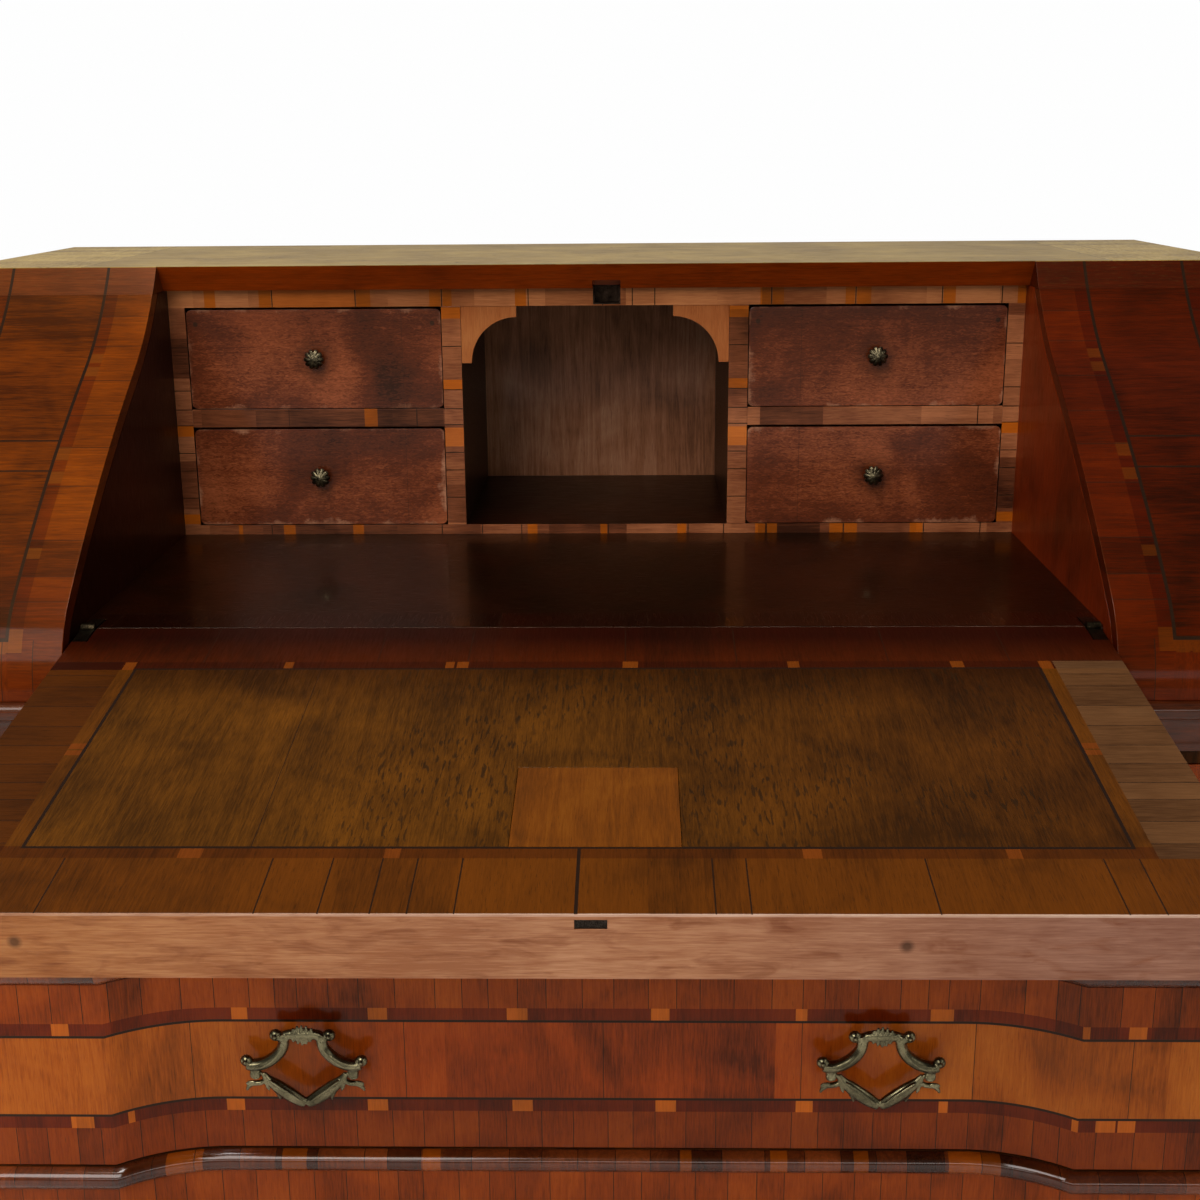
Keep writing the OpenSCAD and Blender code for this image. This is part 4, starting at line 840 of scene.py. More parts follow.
def poplar(name, grain, figure=0.7):
    """Poplar, planed and never polished: dull grey-brown, with a faint straight figure."""
    return wood(name, ("#5f4226", "#94704a", "#b8966a"), grain, figure=figure, rough=(0.6, 0.8), polish=0.0,
                cloudy=0.25)


def smooth_path(points, steps=4):
    """Points along a smooth curve through the given ones, with their radii."""
    made = []
    for i in range(len(points) - 1):
        a, b, c, d = (points[max(0, min(len(points) - 1, i + k))] for k in (-1, 0, 1, 2))
        for k in range(steps):
            t = k / steps
            made.append(tuple(0.5 * (2 * q + (r - p) * t + (2 * p - 5 * q + 4 * r - s) * t * t
                                     + (3 * q - p - 3 * r + s) * t ** 3)
                              for p, q, r, s in zip(a, b, c, d)))
    return made + [tuple(points[-1])]


def tube(points, sides=12, squash=1.0):
    """A swelling and tapering rod: points hold X, Z and radius in millimetres, where Y is 0."""
    path = smooth_path(points)
    here = path[0]
    way = math.atan2(path[1][1] - path[0][1], path[1][0] - path[0][0])
    bpy.ops.mesh.primitive_circle_add(
        vertices=sides, radius=here[2] * MM, fill_type="NGON",
        location=(here[0] * MM, 0, here[1] * MM), rotation=(0, math.pi / 2 - way, 0))
    rod = bpy.context.active_object
    bpy.ops.object.transform_apply(location=True, rotation=True, scale=True)
    bpy.ops.object.mode_set(mode="EDIT")
    bpy.ops.mesh.select_all(action="SELECT")
    for i in range(1, len(path)):
        spot = path[i]
        ahead = path[min(i + 1, len(path) - 1)]
        turn = math.atan2(ahead[1] - path[i - 1][1], ahead[0] - path[i - 1][0]) - way
        turn = (turn + math.pi) % (2 * math.pi) - math.pi
        way += turn
        centre = (spot[0] * MM, 0, spot[1] * MM)
        bpy.ops.mesh.extrude_region_move(TRANSFORM_OT_translate={
            "value": ((spot[0] - here[0]) * MM, 0, (spot[1] - here[1]) * MM)})
        bpy.ops.transform.rotate(value=turn, orient_axis="Y", center_override=centre)
        grow = spot[2] / here[2]
        bpy.ops.transform.resize(value=(grow, grow, grow), center_override=centre)
        here = spot
    if squash != 1.0:
        bpy.ops.mesh.select_all(action="SELECT")
        bpy.ops.transform.resize(value=(1, squash, 1), center_override=(0, 0, 0))
    bpy.ops.mesh.select_all(action="SELECT")
    bpy.ops.mesh.normals_make_consistent(inside=False)
    bpy.ops.object.mode_set(mode="OBJECT")
    return rod


def turned(outline, sides=40, spot=(0, 0, 0), axis="X"):
    """A turned body: the outline holds heights and radii in millimetres, from end to end."""
    bpy.ops.mesh.primitive_circle_add(vertices=sides, radius=outline[0][1] * MM, fill_type="NGON",
                                      location=(0, 0, outline[0][0] * MM))
    body = bpy.context.active_object
    bpy.ops.object.transform_apply(location=True, rotation=True, scale=True)
    bpy.ops.object.mode_set(mode="EDIT")
    bpy.ops.mesh.select_all(action="SELECT")
    for before, after in zip(outline, outline[1:]):
        bpy.ops.mesh.extrude_region_move(
            TRANSFORM_OT_translate={"value": (0, 0, (after[0] - before[0]) * MM)})
        grow = after[1] / before[1]
        bpy.ops.transform.resize(value=(grow, grow, 1), center_override=(0, 0, after[0] * MM))
    bpy.ops.mesh.select_all(action="SELECT")
    bpy.ops.mesh.normals_make_consistent(inside=False)
    bpy.ops.object.mode_set(mode="OBJECT")
    body.rotation_euler = {"X": (0, math.pi / 2, 0), "Y": (math.pi / 2, 0, 0), "Z": (0, 0, 0)}[axis]
    body.location = Vector(spot) * MM
    bpy.ops.object.transform_apply(location=True, rotation=True, scale=True)
    return body


def ball(x, z, radius, y=0.0, flat=1.0):
    """A round boss in the handle's plane."""
    bpy.ops.mesh.primitive_uv_sphere_add(segments=20, ring_count=12, radius=radius * MM,
                                         location=(x * MM, y * MM, z * MM),
                                         rotation=(math.pi / 2, 0, 0))
    boss = bpy.context.active_object
    boss.scale = (1, 1, flat)
    bpy.ops.object.transform_apply(location=True, rotation=True, scale=True)
    return boss


def mirrored_pair(thing):
    """The thing and its twin on the other side of the handle's middle."""
    twin = own_copy(thing, thing.name + "_twin")
    bpy.ops.object.mode_set(mode="EDIT")
    bpy.ops.mesh.select_all(action="SELECT")
    bpy.ops.transform.resize(value=(-1, 1, 1), center_override=(0, 0, 0))
    bpy.ops.mesh.normals_make_consistent(inside=False)
    bpy.ops.object.mode_set(mode="OBJECT")
    return [thing, twin]


def cast(parts, name):
    """Joins the parts and fuses them into one smooth casting."""
    select_only(*parts)
    bpy.ops.object.join()
    piece = bpy.context.active_object
    piece.name = piece.data.name = name
    apply_modifier(piece, "REMESH", mode="VOXEL", voxel_size=bpy.context.scene.desk_sizes.casting)
    apply_modifier(piece, "SMOOTH", factor=0.5, iterations=3)
    select_only(piece)
    bpy.ops.object.shade_smooth()
    return piece


def put(thing, spot):
    """Moves a modelled piece to its place and applies the place."""
    select_only(thing)
    bpy.ops.transform.translate(value=spot)
    bpy.ops.object.transform_apply(location=True, rotation=True, scale=True)
    return thing


def spiral(x, z, start, turns, outer, inner, thick, count=9):
    """The raised spiral on a scroll's end, from the outside in."""
    points = []
    for i in range(count):
        part = i / (count - 1)
        angle = start + turns * 2 * math.pi * part
        radius = outer + (inner - outer) * part
        points.append((x + radius * math.cos(angle), z + radius * math.sin(angle),
                       thick * (1 - 0.3 * part)))
    return points


# The handle, in millimetres about its bail's axis: X, Z and radius
SCROLL = [(50, 8.8, 5.0), (44, 7.9, 5.5), (37, 9.2, 5.5), (30, 12.4, 5.6), (23, 18, 5.5), (18, 25.2, 5.2),
          (16.5, 33, 4.9), (18.5, 38.5, 4.2)]
SCROLL_RIDGE = [(46, 7.6, 1.3), (37, 8.4, 1.5), (30, 12, 1.5), (23.5, 18, 1.5), (18.5, 26, 1.4),
                (17.4, 33, 1.2)]
VOLUTES = [(50.4, 12.4), (23.4, 37.4)]
SHELL_Z = 38.3
SPINDLE = [(-19, 36.8, 3.0), (-14, 37.4, 4.4), (-9, 38, 5.0), (0, 38.5, 5.8), (9, 38, 5.0), (14, 37.4, 4.4),
           (19, 36.8, 3.0)]
ARM = [(36.5, 0, 2.6), (34, -3.8, 3.6), (31, -7.4, 4.7), (26, -11.4, 5.8), (20, -16.4, 6.6), (12, -22.4, 6.6),
       (5, -27.2, 5.6), (0.4, -29.8, 4.4)]
ARM_RIDGE = [(30, -5.8, 0.9), (26, -8.8, 1.4), (19, -14.2, 1.7), (11, -20.4, 1.6), (4, -26, 1.1)]
ARM_VEIN = [(30, -10.6, 0.8), (22, -18.4, 1.1), (14, -25, 1.1), (7, -29.2, 0.8)]
LEAF = [(33, -6, 2.2), (39, -9.4, 2.5), (46, -10.4, 2.4), (50, -13.4, 2.1), (52, -17.4, 0.9)]
LEAF_TWO = [(44, -8, 1.4), (49.5, -8.6, 1.3), (52.2, -10.6, 0.7)]
TIP = [(28, -11, 1.9), (25.6, -17, 2.2), (22.4, -26, 0.8)]
TIP_TWO = [(34, -9.5, 1.5), (33.4, -13.6, 1.3), (31.2, -17.4, 0.6)]
# Turned parts of the handle: distance along the axis and radius
POST_X = 42.9
CROSS_COLLAR = [(-4.6, 2.6), (-4.4, 3.6), (-3.9, 4.1), (-3.2, 4.4), (-2.6, 4.0), (-2.2, 3.3), (2.2, 3.3),
                (2.6, 4.0), (3.2, 4.4), (3.8, 4.2), (4.2, 3.6), (4.4, 2.6)]
UPRIGHT_COLLAR = [(-4.6, 2.8), (-4.0, 4.0), (-3.2, 4.2), (-2.6, 3.4), (2.4, 3.4), (3.0, 4.2), (3.8, 4.0),
                  (6.6, 3.0)]
POST = [(-37, 2.4), (-36.5, 2.5), (-16.5, 2.5), (-16, 5.2), (-15, 5.4), (-14.4, 4.2), (-12, 3.2), (0, 3.0)]
PIVOT_X = 42.0
PIVOT = [(-5, 1.5), (-4.6, 1.6), (4.6, 1.6), (5, 1.5)]
# The knob: its stem, where its flutes lie, how many edges each flute has, and how far and how wide
# each cut of it goes
KNOB_STEM = [(-13.5, 2.3), (-13, 2.5), (0.4, 2.5)]
FLUTED = (4.9, 12.5)
FLUTE_EDGES = 12
FLUTE_CUTS = [(0.93, 5), (0.94, 3), (0.96, 1)]
# The share of a small front's height that wear has left
WORN_HEIGHT = 0.984


class DESK_OT_case(bpy.types.Operator):
    """Dresses the case: sides, back, bottom, feet, runners and guides"""
    bl_idname = "desk.case"
    bl_label = "Case"

    def execute(self, context):
        walnut = walnut_colours()
        # Walnut veneer, waxed: brown figure that stands upright in a panel, with a soft sheen
        sides = wood("Walnut_sides", walnut, "Z", side_layout, figure=0.8)
        dress_all(("left_side", "right_side"), sides)
        # Poplar, planed and left bare where nobody looks: dull and grey-brown with age
        dress("back_boards", poplar("Poplar_boards", "Z"), 0.6 * MM)
        dress("carcase_bottom", poplar("Poplar_inside", "X"), 0.6 * MM)
        # Beech, planed and rubbed smooth by what slides on it: plain tan with a slight shine
        beech = wood("Beech_runners", ("#5d3f22", "#8c6238", "#aa8253"), "Y", figure=0.5, rough=(0.45, 0.6),
                     polish=0.05)
        dress_all(("drawer_runners", "loper_guides"), beech, 0.6 * MM)
        # Walnut, sawn from the solid and waxed: its figure runs on round the brackets' curves
        dress("bracket_feet", wood("Walnut_feet", walnut, "X", figure=0.8), keen=50.0)
        return {"FINISHED"}


class DESK_OT_slope(bpy.types.Operator):
    """Dresses the top, the wings and the cheeks beside the opening"""
    bl_idname = "desk.slope"
    bl_label = "Top, wings and cheeks"

    def execute(self, context):
        # Walnut veneer, bleached by the sun: olive yellow, nearly flat, dull, and finely cracked. Its pale
        # tone is partly a painted reflection of glancing light
        top = wood("Walnut_top_faded_and_sheen", ("#7c6230", "#b69852", "#cfb672"), "X", top_layout, figure=0.5,
                   flecks=0.3, rough=(0.4, 0.6), polish=0.1, mirror=0.25, cloudy=0.3)
        dress("top_board", top, 1.6 * MM)
        # Walnut veneer, laid crosswise and waxed: warm brown bands of many short lengths
        wings = wood("Walnut_wings", ("#341101", "#6c2e02", "#964c08"), "X", wing_layout, figure=0.5,
                     polish=0.08, cloudy=0.4)
        dress("wing_panels", wings, keen=50.0)
        # Walnut veneer, sheltered from the light: deep red-brown and plain
        cheeks = wood("Walnut_cheeks", ("#300c01", "#621b02", "#802a04"), "Z", cheek_shade_layout, figure=0.6,
                      polish=0.12)
        dress("cheeks", cheeks)
        return {"FINISHED"}


class DESK_OT_bed(bpy.types.Operator):
    """Dresses the writing bed, the waist rail and the rails between the drawers"""
    bl_idname = "desk.bed"
    bl_label = "Bed and rails"

    def execute(self, context):
        # Walnut veneer, french polished and rubbed by arms: nearly black, with a wet gloss
        bed = wood("Walnut_bed", ("#0a0200", "#180501", "#280b02"), "X", bed_layout, figure=0.4,
                   rough=(0.24, 0.4), polish=0.2, mirror=0.05)
        dress("writing_bed", bed, 0.4 * MM)
        # Walnut veneer, crossbanded: dull, and painted nearly black as painted shade in the slits round the
        # drawers
        rails = wood("Walnut_rails_shaded", ("#180a04", "#301406", "#4c260c"), "Z", rail_layout, figure=0.6,
                     rough=(0.5, 0.7), polish=0.0)
        dress_all(("waist_rail", "drawer_rails"), rails, 0.5 * MM)
        return {"FINISHED"}


class DESK_OT_mouldings(bpy.types.Operator):
    """Dresses the waist moulding, the beads, the base moulding and the lopers"""
    bl_idname = "desk.mouldings"
    bl_label = "Mouldings and lopers"

    def execute(self, context):
        # Walnut, planed to a moulding and stained: almost black, with bright lines of polish
        stained = ("#220c05", "#4a200e", "#86421e")
        mouldings = wood("Walnut_waist_moulding", stained, "X", rail_layout, figure=0.5, rough=(0.24, 0.4),
                         polish=0.5, mirror=0.14)
        dress_all(("waist_moulding", "base_moulding"), mouldings, 0.4 * MM, 50.0)
        # Walnut, laid crosswise over a half-round core: glossy short lengths, dark and orange
        beads = wood("Walnut_beads", stained, "Z", bead_layout, figure=0.5, rough=(0.2, 0.34), polish=0.8,
                     mirror=0.12)
        dress("bead_mouldings", beads, 0.3 * MM, 50.0)
        # Walnut, planed and waxed: plain brown with its grain along the slide
        lopers = wood("Walnut_lopers", walnut_colours(), "Y", figure=0.5)
        dress_all(("left_loper", "right_loper"), lopers, 0.7 * MM)
        return {"FINISHED"}


class DESK_OT_gallery(bpy.types.Operator):
    """Dresses the gallery and its arched compartment"""
    bl_idname = "desk.gallery"
    bl_label = "Gallery"

    def execute(self, context):
        # Walnut veneer on the gallery's edges, waxed: pinkish brown in short lengths
        edges = wood("Walnut_gallery_edges", ("#2c120a", "#663620", "#a0623e"), "X", gallery_layout,
                     figure=0.4)
        dress_all(("gallery_case", "gallery_dividers", "gallery_shelves"), edges, 0.5 * MM)
        # Walnut, sawn to an arch and waxed: lighter than the edges and plain
        arch = wood("Walnut_arch", ("#5c2a12", "#8c4c26", "#a6683a"), "Z", figure=0.4)
        dress("gallery_spandrels", arch, 0.4 * MM)
        # Walnut, planed and hardly polished: a dull figured ground behind the compartment, painted lighter
        # than the wood as painted light in the dark compartment
        back = wood("Walnut_gallery_back_painted_light", ("#4a2c1c", "#825238", "#a5765a"), "Z", figure=0.9,
                    rough=(0.4, 0.6))
        dress("gallery_back", back, 0.4 * MM)
        return {"FINISHED"}


class DESK_OT_small_drawers(bpy.types.Operator):
    """Dresses the four small drawers and models their knobs"""
    bl_idname = "desk.small_drawers"
    bl_label = "Small drawers and knobs"

    def execute(self, context):
        # Walnut burr, waxed: curly figure in dark and light brown, with a warm gloss
        front = wood("Walnut_small_fronts", ("#220a05", "#522211", "#904c2c"), "X", small_layout,
                     figure=0.35, curly=0.4, polish=0.3, mirror=0.16, cloudy=0.7, fine=0.14)
        # Poplar, planed and left bare: a pale dull box behind each front
        box = poplar("Poplar_small_boxes", "Y", 1.0)
        corners = [v + "_" + h for v in ("upper", "lower") for h in ("left", "right")]
        for corner in corners:
            piece = dress(corner + "_small_front", front, 1.8 * MM, corners=5 * MM)
            # Worn along its upper edge, so that a dark gap shows there
            select_only(piece)
            bpy.ops.object.mode_set(mode="EDIT")
            bpy.ops.mesh.select_all(action="SELECT")
            bpy.ops.transform.resize(value=(1, 1, WORN_HEIGHT),
                                     center_override=(0, 0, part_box(corner + "_small_front")[0].z))
            bpy.ops.object.mode_set(mode="OBJECT")
            dress(corner + "_small_box", box, 0.5 * MM)
        # Brass, cast and turned: rubbed bright on the ribs and nearly black in the flutes
        self.knobs(context, corners, metal("Brass_knobs", "#74684e", "#1e1912"))
        return {"FINISHED"}

    def knobs(self, context, corners, brass):
        """Models one fluted knob and copies it to each drawer."""
        low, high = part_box(corners[0] + "_knob")
        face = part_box(corners[0] + "_small_front")[0].y
        radius = (high.x - low.x) / 2 / MM
        reach = (face - low.y) / MM
        count = FLUTE_EDGES * context.scene.desk_sizes.flutes
        outline = [(0, 4.2), (0.5, 4.4), (1.2, 3.9), (3, 3.6), (4.2, 4.2), (5.2, 0.66 * radius),
                   (6.8, 0.9 * radius), (8, 0.99 * radius), (9.2, 0.97 * radius), (10.4, 0.86 * radius),
                   (11.6, 0.62 * radius), (12.4, 0.4 * radius), (12.6, 0.26 * radius),
                   (12.9, 0.2 * radius), (reach, 0.1 * radius)]
        knob = turned(outline, count, axis="Z")
        bpy.ops.object.mode_set(mode="EDIT")
        for depth, wide in FLUTE_CUTS:
            bpy.ops.mesh.select_all(action="DESELECT")
            bpy.ops.object.mode_set(mode="OBJECT")
            for v in knob.data.vertices:
                step = round(math.atan2(v.co.y, v.co.x) / (2 * math.pi) * count) % FLUTE_EDGES
                from_rib = min(step, FLUTE_EDGES - step)
                v.select = (FLUTED[0] * MM < v.co.z < FLUTED[1] * MM
                            and FLUTE_EDGES / 2 - from_rib <= wide / 2)
            bpy.ops.object.mode_set(mode="EDIT")
            bpy.ops.transform.resize(value=(depth, depth, 1), center_override=(0, 0, 0))
        bpy.ops.object.mode_set(mode="OBJECT")
        stem = turned(KNOB_STEM, 24, axis="Z")
        select_only(stem, knob)
        bpy.ops.object.join()
        knob.rotation_euler = (math.pi / 2, 0, 0)
        bpy.ops.object.transform_apply(location=True, rotation=True, scale=True)
        bpy.ops.object.shade_smooth_by_angle(angle=math.radians(50))
        for corner in corners:
            node = corner + "_knob"
            low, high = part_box(node)
            piece = own_copy(knob, node + "_finish")
            put(piece, ((low.x + high.x) / 2, face, (low.z + high.z) / 2))
            paint_with(piece, brass)
            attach(piece, frame["nodes"][node]["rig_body"])
            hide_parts(node)
        bpy.data.objects.remove(knob)


class DESK_OT_fall(bpy.types.Operator):
    """Dresses the fall and the patch over its lock's old place"""
    bl_idname = "desk.fall"
    bl_label = "Fall"

    def execute(self, context):
        golden = context.scene.desk_colours.golden
        turn = -(math.pi + FALL_TILT)
        # Walnut veneer, faded by the sun: golden, dull and flecked dark along its grain
        fall = wood("Walnut_fall_faded", (dimmed(golden, 0.3), golden, dimmed(golden, 1.5)), "Y",
                    fall_layout, turn=turn, figure=0.5, flecks=0.5, rough=(0.34, 0.52), mirror=0.16,
                    cloudy=0.35)
        dress("fall_board", fall, 0.8 * MM)
        # Plum wood, let in and scraped flush: a redder patch with a low gloss
        patch = wood("Plum_patch", ("#402002", "#643303", "#7c460a"), "Y", turn=turn, figure=0.8, polish=0.3)
        dress("lock_patch", patch, 0.25 * MM)
        return {"FINISHED"}


class DESK_OT_ironwork(bpy.types.Operator):
    """Dresses the lock, its bolt and keeper, the escutcheon and the hinges"""
    bl_idname = "desk.ironwork"
    bl_label = "Lock and hinges"

    def execute(self, context):
        # Iron, forged and filed: brown with old rust and dull
        iron = metal("Iron_old", "#3c342c", "#17110c", (0.4, 0.7))
        # Iron, forged: nearly black, with hardly a shine
        keeper = metal("Iron_keeper", "#3a2c22", "#120b07", (0.5, 0.75))
        # Brass, cast and filed, then blackened with age: dark, with a low gloss on the worn parts
        brass = metal("Brass_hinges", "#3c3222", "#15100a", (0.3, 0.5))
        dress_all(("lock_case", "lock_bolt"), iron, 0.25 * MM)
        dress("lock_keeper", keeper, 0.25 * MM)
        dress("hinge_pins", iron, 0.15 * MM)
        dress_all(("hinge_bed_leaves", "hinge_fall_leaves"), brass, 0.2 * MM)
        dress("escutcheon", brass, 0.3 * MM)
        return {"FINISHED"}


class DESK_OT_long_drawers(bpy.types.Operator):
    """Dresses the three long drawers"""
    bl_idname = "desk.long_drawers"
    bl_label = "Long drawers"

    def execute(self, context):
        # Walnut veneer, laid upright and waxed: bright brown, with a soft gloss on the curves
        front = wood("Walnut_drawer_fronts", walnut_colours(), "Z", drawer_layout, figure=0.4, polish=0.2,
                     mirror=0.12, cloudy=0.55)
        # Poplar, planed and left bare: a pale dull box behind each front
        box = poplar("Poplar_drawer_boxes", "Y")
        for row in ROWS:
            dress(row + "_drawer_front", front, 0.6 * MM, 50.0)
            dress(row + "_drawer_box", box, 0.6 * MM)
        return {"FINISHED"}


class DESK_OT_handles(bpy.types.Operator):
    """Models one cast handle plate and one bail, and copies them to the drawers"""
    bl_idname = "desk.handles"
    bl_label = "Handles"

    def execute(self, context):
        bronze = context.scene.desk_colours.bronze
        # Brass, cast and chased, dark as bronze with age: smooth, with clear highlights on its ribs
        brass = metal("Brass_handles", bronze, dimmed(bronze, 0.3), (0.2, 0.3), 0.05, dents=0.08)
        plate = self.plate()
        bail = self.bail()
        for row in ROWS:
            for side in ("left", "right"):
                spot = self.axis_of(row + "_" + side + "_bail_hinge")
                piece = put(own_copy(plate, row + "_" + side + "_plate_finish"), spot)
                paint_with(piece, brass)
                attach(piece, row + "_drawer")
                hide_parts(row + "_handle_plates")
                swing = put(own_copy(bail, row + "_" + side + "_bail_finish"), spot)
                paint_with(swing, brass)
                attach(swing, frame["nodes"][row + "_" + side + "_bail"]["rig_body"])
                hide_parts(row + "_" + side + "_bail")
        bpy.data.objects.remove(plate)
        bpy.data.objects.remove(bail)
        return {"FINISHED"}

    def axis_of(self, name):
        """The middle of a bail's axis, from the frame's joint."""
        for joint in frame["joints"]:
            if joint["name"] == name:
                return tuple(joint["pos_m"])
        raise RuntimeError("the frame has no joint named " + name)

    def plate(self):
        """The openwork plate: scrolls, volutes, ribbed shell, collars and posts."""
        parts = []
        for points in (SCROLL, spiral(*VOLUTES[0], -1.6, 0.85, 4.3, 1.6, 1.6),
                       spiral(*VOLUTES[1], 2.6, -0.85, 4.2, 1.6, 1.5)):
            parts += mirrored_pair(tube(points))
        ridge = tube(SCROLL_RIDGE, 8)
        put(ridge, (0, -4.4 * MM, 0))
        parts += mirrored_pair(ridge)
        for x, z in VOLUTES:
            parts += mirrored_pair(ball(x, z, 5.6, 0, 0.72))
            parts += mirrored_pair(ball(x, z, 2.1, -3.9))
        parts.append(tube(SPINDLE, 14, 0.8))
        # Seven ribs of the shell, shorter and further back towards its sides
        for i in range(-3, 4):
            height = 9.6 - 0.72 * i * i
            lean = 0.13 * i
            rib = tube([((3.6 - lean) * i, SHELL_Z - height, 1.1), (3.8 * i, SHELL_Z, 2.0),
                        ((3.9 + lean) * i, SHELL_Z + height, 1.1)], 10)
            put(rib, (0, (-2.2 + 0.16 * abs(i)) * MM, 0))
            parts.append(rib)
        for x in (-POST_X, POST_X):
            for outline, sides, axis in ((CROSS_COLLAR, 28, "X"), (UPRIGHT_COLLAR, 28, "Z"), (POST, 24, "Y")):
                parts.append(turned(outline, sides, (x, 0, 0), axis))
        return cast(parts, "handle_plate_model")

    def bail(self):
        """The leafy bail: two swelling arms with a ridge, curled leaves and pivots."""
        parts = []
        for points, out, flat in ((ARM, 0, 0.64), (LEAF, 0, 1), (LEAF_TWO, -0.8, 1), (TIP, -0.3, 1),
                                  (TIP_TWO, -0.6, 1)):
            parts += mirrored_pair(put(tube(points, squash=flat), (0, out * MM, 0)))
        for points, out in ((ARM_RIDGE, -3.3), (ARM_VEIN, -2.5)):
            parts += mirrored_pair(put(tube(points, 8), (0, out * MM, 0)))
        for x in (-PIVOT_X, PIVOT_X):
            parts.append(turned(PIVOT, 16, (x, 0, 0), "X"))
        return cast(parts, "bail_model")


# The photograph's camera, found from the opening, the gallery, the fall and the drawer: its place in
# millimetres from the hinge line's middle, and its turns in degrees
CAMERA_SPOT = (38.0, -1272.3, 376.2)
CAMERA_YAW, CAMERA_DOWN, CAMERA_ROLL = -1.2468, 15.521, 0.4711
CAMERA_SENSOR = 36
CAMERA_LENS = 1622.4 / 1200 * CAMERA_SENSOR
# Name, place, width, height and share of the power. The long front lamp draws the lines along the beads.
LAMPS = (("Key_lamp", (-1.1, -2.6, 2.5), 1.6, 1.6, 1.0), ("Top_lamp", (-0.5, -0.9, 3.3), 1.1, 1.1, 0.9),
         ("Front_lamp", (0.3, -3.1, 1.1), 3.4, 0.35, 0.24),
         ("Side_lamp", (2.7, -1.9, 1.9), 1.2, 1.2, 0.12), ("Rear_lamp", (-0.9, 3.4, 0.5), 1.6, 0.9, 0.5))
LAMPS_AIM = Vector((0, 0, 0.75))
# The floor is square, and fades to white between these distances from the desk, in metres
FLOOR_SIZE = 14
FADE_START, FADE_END = 1.3, 3.2
PAPER_GRAINS_PER_M = 60.0


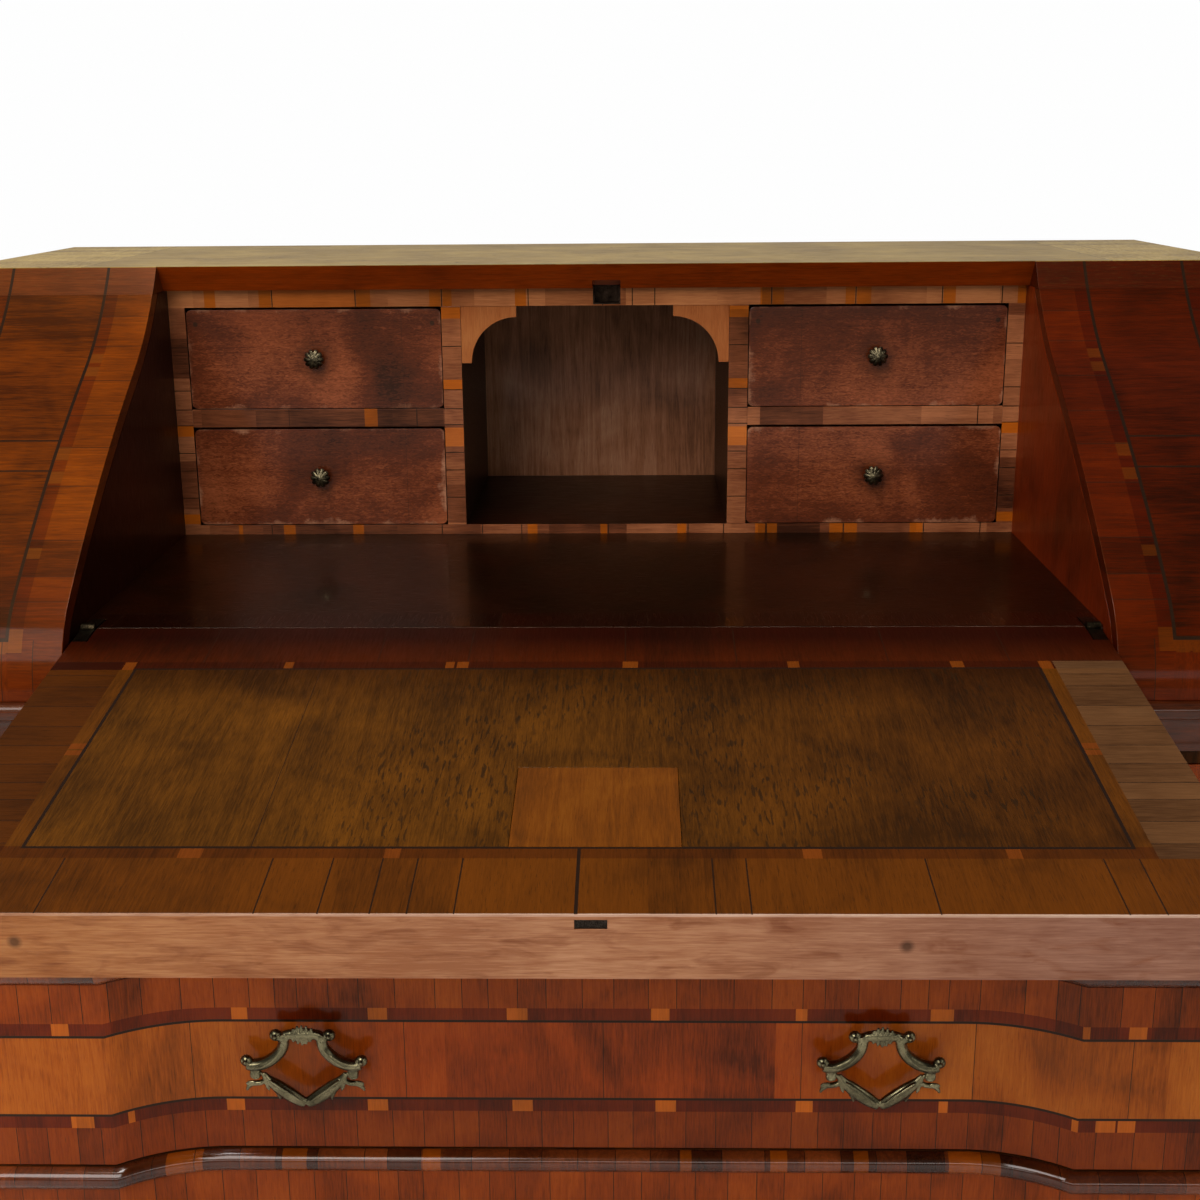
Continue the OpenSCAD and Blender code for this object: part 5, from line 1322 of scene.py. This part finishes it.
class DESK_OT_stage(bpy.types.Operator):
    """Sets the floor, backdrop, soft light and camera"""
    bl_idname = "desk.stage"
    bl_label = "Studio"

    def execute(self, context):
        scene = context.scene
        scene.view_settings.view_transform = "Standard"
        self.room()
        self.light(scene)
        self.camera(scene)
        return {"FINISHED"}

    def room(self):
        """A plain pale floor that runs into a white backdrop."""
        # Paper, off a roll: matt and nearly white, with a grain too soft to draw the eye
        material, tree = new_material("Paper_backdrop")
        spot = add(tree, "TexCoord", out=3)
        grain = add(tree, "TexNoise", {"Vector": spot, "Scale": PAPER_GRAINS_PER_M, "Detail": 2.0})
        paint = add(tree, "ValToRGB", {0: grain}, stops=[(0.3, "#efefef"), (0.7, "#f6f6f6")])
        paper = add(tree, "BsdfPrincipled", {"Base Color": paint, "Roughness": 0.9,
                                             "Specular IOR Level": 0.1})
        # Far from the desk the floor runs into the white backdrop, and near it, it keeps the shadow
        path = add(tree, "LightPath").node
        seen = fold(tree, "MAXIMUM", path.outputs["Is Camera Ray"], path.outputs["Is Glossy Ray"],
                    path.outputs["Is Transmission Ray"])
        away = add(tree, "VectorMath", {0: spot}, out=1, operation="LENGTH")
        far = add(tree, "MapRange", {0: away, 1: FADE_START, 2: FADE_END}, interpolation_type="SMOOTHSTEP")
        white = add(tree, "Emission", {"Color": "#fefefe", "Strength": 1.0})
        shader = add(tree, "MixShader", {0: fold(tree, "MULTIPLY", seen, far), 1: paper, 2: white})
        finish_material(tree, shader)
        bpy.ops.mesh.primitive_plane_add(size=FLOOR_SIZE, location=(0, 0, 0))
        floor = bpy.context.active_object
        floor.name = "Floor"
        floor.data.materials.append(material)

    def light(self, scene):
        """A large soft lamp above and before the desk, four weaker ones and an even pale surround."""
        world = bpy.data.worlds.new("Surround")
        scene.world = world
        world.use_nodes = True
        tree = world.node_tree
        tree.nodes.clear()
        # The white backdrop is seen by the camera, and mirrored where it stands behind the desk
        path = add(tree, "LightPath").node
        way = add(tree, "SeparateXYZ", {0: add(tree, "TexCoord", out="Generated")}).node
        low = add(tree, "MapRange", {0: way.outputs[2], 1: 0.36, 2: 0.16})
        back = add(tree, "MapRange", {0: way.outputs[1], 1: 0.1, 2: 0.45})
        mirrored = fold(tree, "MAXIMUM", path.outputs["Is Glossy Ray"], path.outputs["Is Transmission Ray"])
        mirrored = fold(tree, "MULTIPLY", mirrored, low, back)
        seen = fold(tree, "MAXIMUM", path.outputs["Is Camera Ray"], mirrored)
        plain = add(tree, "Background", {"Color": "#fefefe", "Strength": 1.0})
        glow = add(tree, "Background", {"Color": "#dcdcde", "Strength": 0.16})
        add(tree, "OutputWorld", {"Surface": add(tree, "MixShader", {0: seen, 1: glow, 2: plain})})
        for name, spot, width, height, share in LAMPS:
            bpy.ops.object.light_add(type="AREA", location=spot)
            lamp = bpy.context.active_object
            lamp.name = name
            lamp.data.shape = "RECTANGLE"
            lamp.data.size = width
            lamp.data.size_y = height
            lamp.data.energy = scene.desk_sizes.lamp * share
            aim = LAMPS_AIM - Vector(spot)
            lamp.rotation_euler = aim.to_track_quat("-Z", "Y").to_euler()

    def camera(self, scene):
        """The camera of the photograph."""
        yaw, down, roll = (math.radians(v) for v in (CAMERA_YAW, CAMERA_DOWN, CAMERA_ROLL))
        ahead = Vector((math.sin(yaw) * math.cos(down), math.cos(yaw) * math.cos(down),
                        -math.sin(down)))
        right = Vector((math.cos(yaw), -math.sin(yaw), 0))
        under = ahead.cross(right)
        right, under = (math.cos(roll) * right + math.sin(roll) * under,
                        -math.sin(roll) * right + math.cos(roll) * under)
        bpy.ops.object.camera_add()
        camera = bpy.context.active_object
        camera.name = "Photograph_camera"
        camera.data.sensor_width = CAMERA_SENSOR
        camera.data.lens = CAMERA_LENS
        camera.matrix_world = Matrix((right, -under, -ahead)).transposed().to_4x4()
        camera.location = HINGE + Vector(CAMERA_SPOT) * MM
        scene.camera = camera


class DESK_PT_sidebar(bpy.types.Panel):
    """Colours, sizes and steps of the desk"""
    bl_label = "Slant-front desk"
    bl_idname = "DESK_PT_sidebar"
    bl_space_type = "VIEW_3D"
    bl_region_type = "UI"
    bl_category = "Desk"

    def draw(self, context):
        layout = self.layout
        for group in (context.scene.desk_colours, context.scene.desk_sizes):
            box = layout.box()
            for key in group.__annotations__:
                box.prop(group, key)
        for step in STEPS:
            layout.operator(step.bl_idname)


STEPS = (DESK_OT_case, DESK_OT_slope, DESK_OT_bed, DESK_OT_mouldings, DESK_OT_gallery,
         DESK_OT_small_drawers, DESK_OT_fall, DESK_OT_ironwork, DESK_OT_long_drawers, DESK_OT_handles,
         DESK_OT_stage)
CLASSES = (DeskColours, DeskSizes) + STEPS + (DESK_PT_sidebar,)


def register():
    for item in CLASSES:
        bpy.utils.register_class(item)
    bpy.types.Scene.desk_colours = bpy.props.PointerProperty(type=DeskColours)
    bpy.types.Scene.desk_sizes = bpy.props.PointerProperty(type=DeskSizes)


def unregister():
    del bpy.types.Scene.desk_colours
    del bpy.types.Scene.desk_sizes
    for item in reversed(CLASSES):
        bpy.utils.unregister_class(item)


def main():
    register()
    for step in STEPS:
        family, action = step.bl_idname.split(".")
        if getattr(getattr(bpy.ops, family), action)() != {"FINISHED"}:
            raise RuntimeError(step.bl_label + " did not finish")


if __name__ == "__main__":
    main()
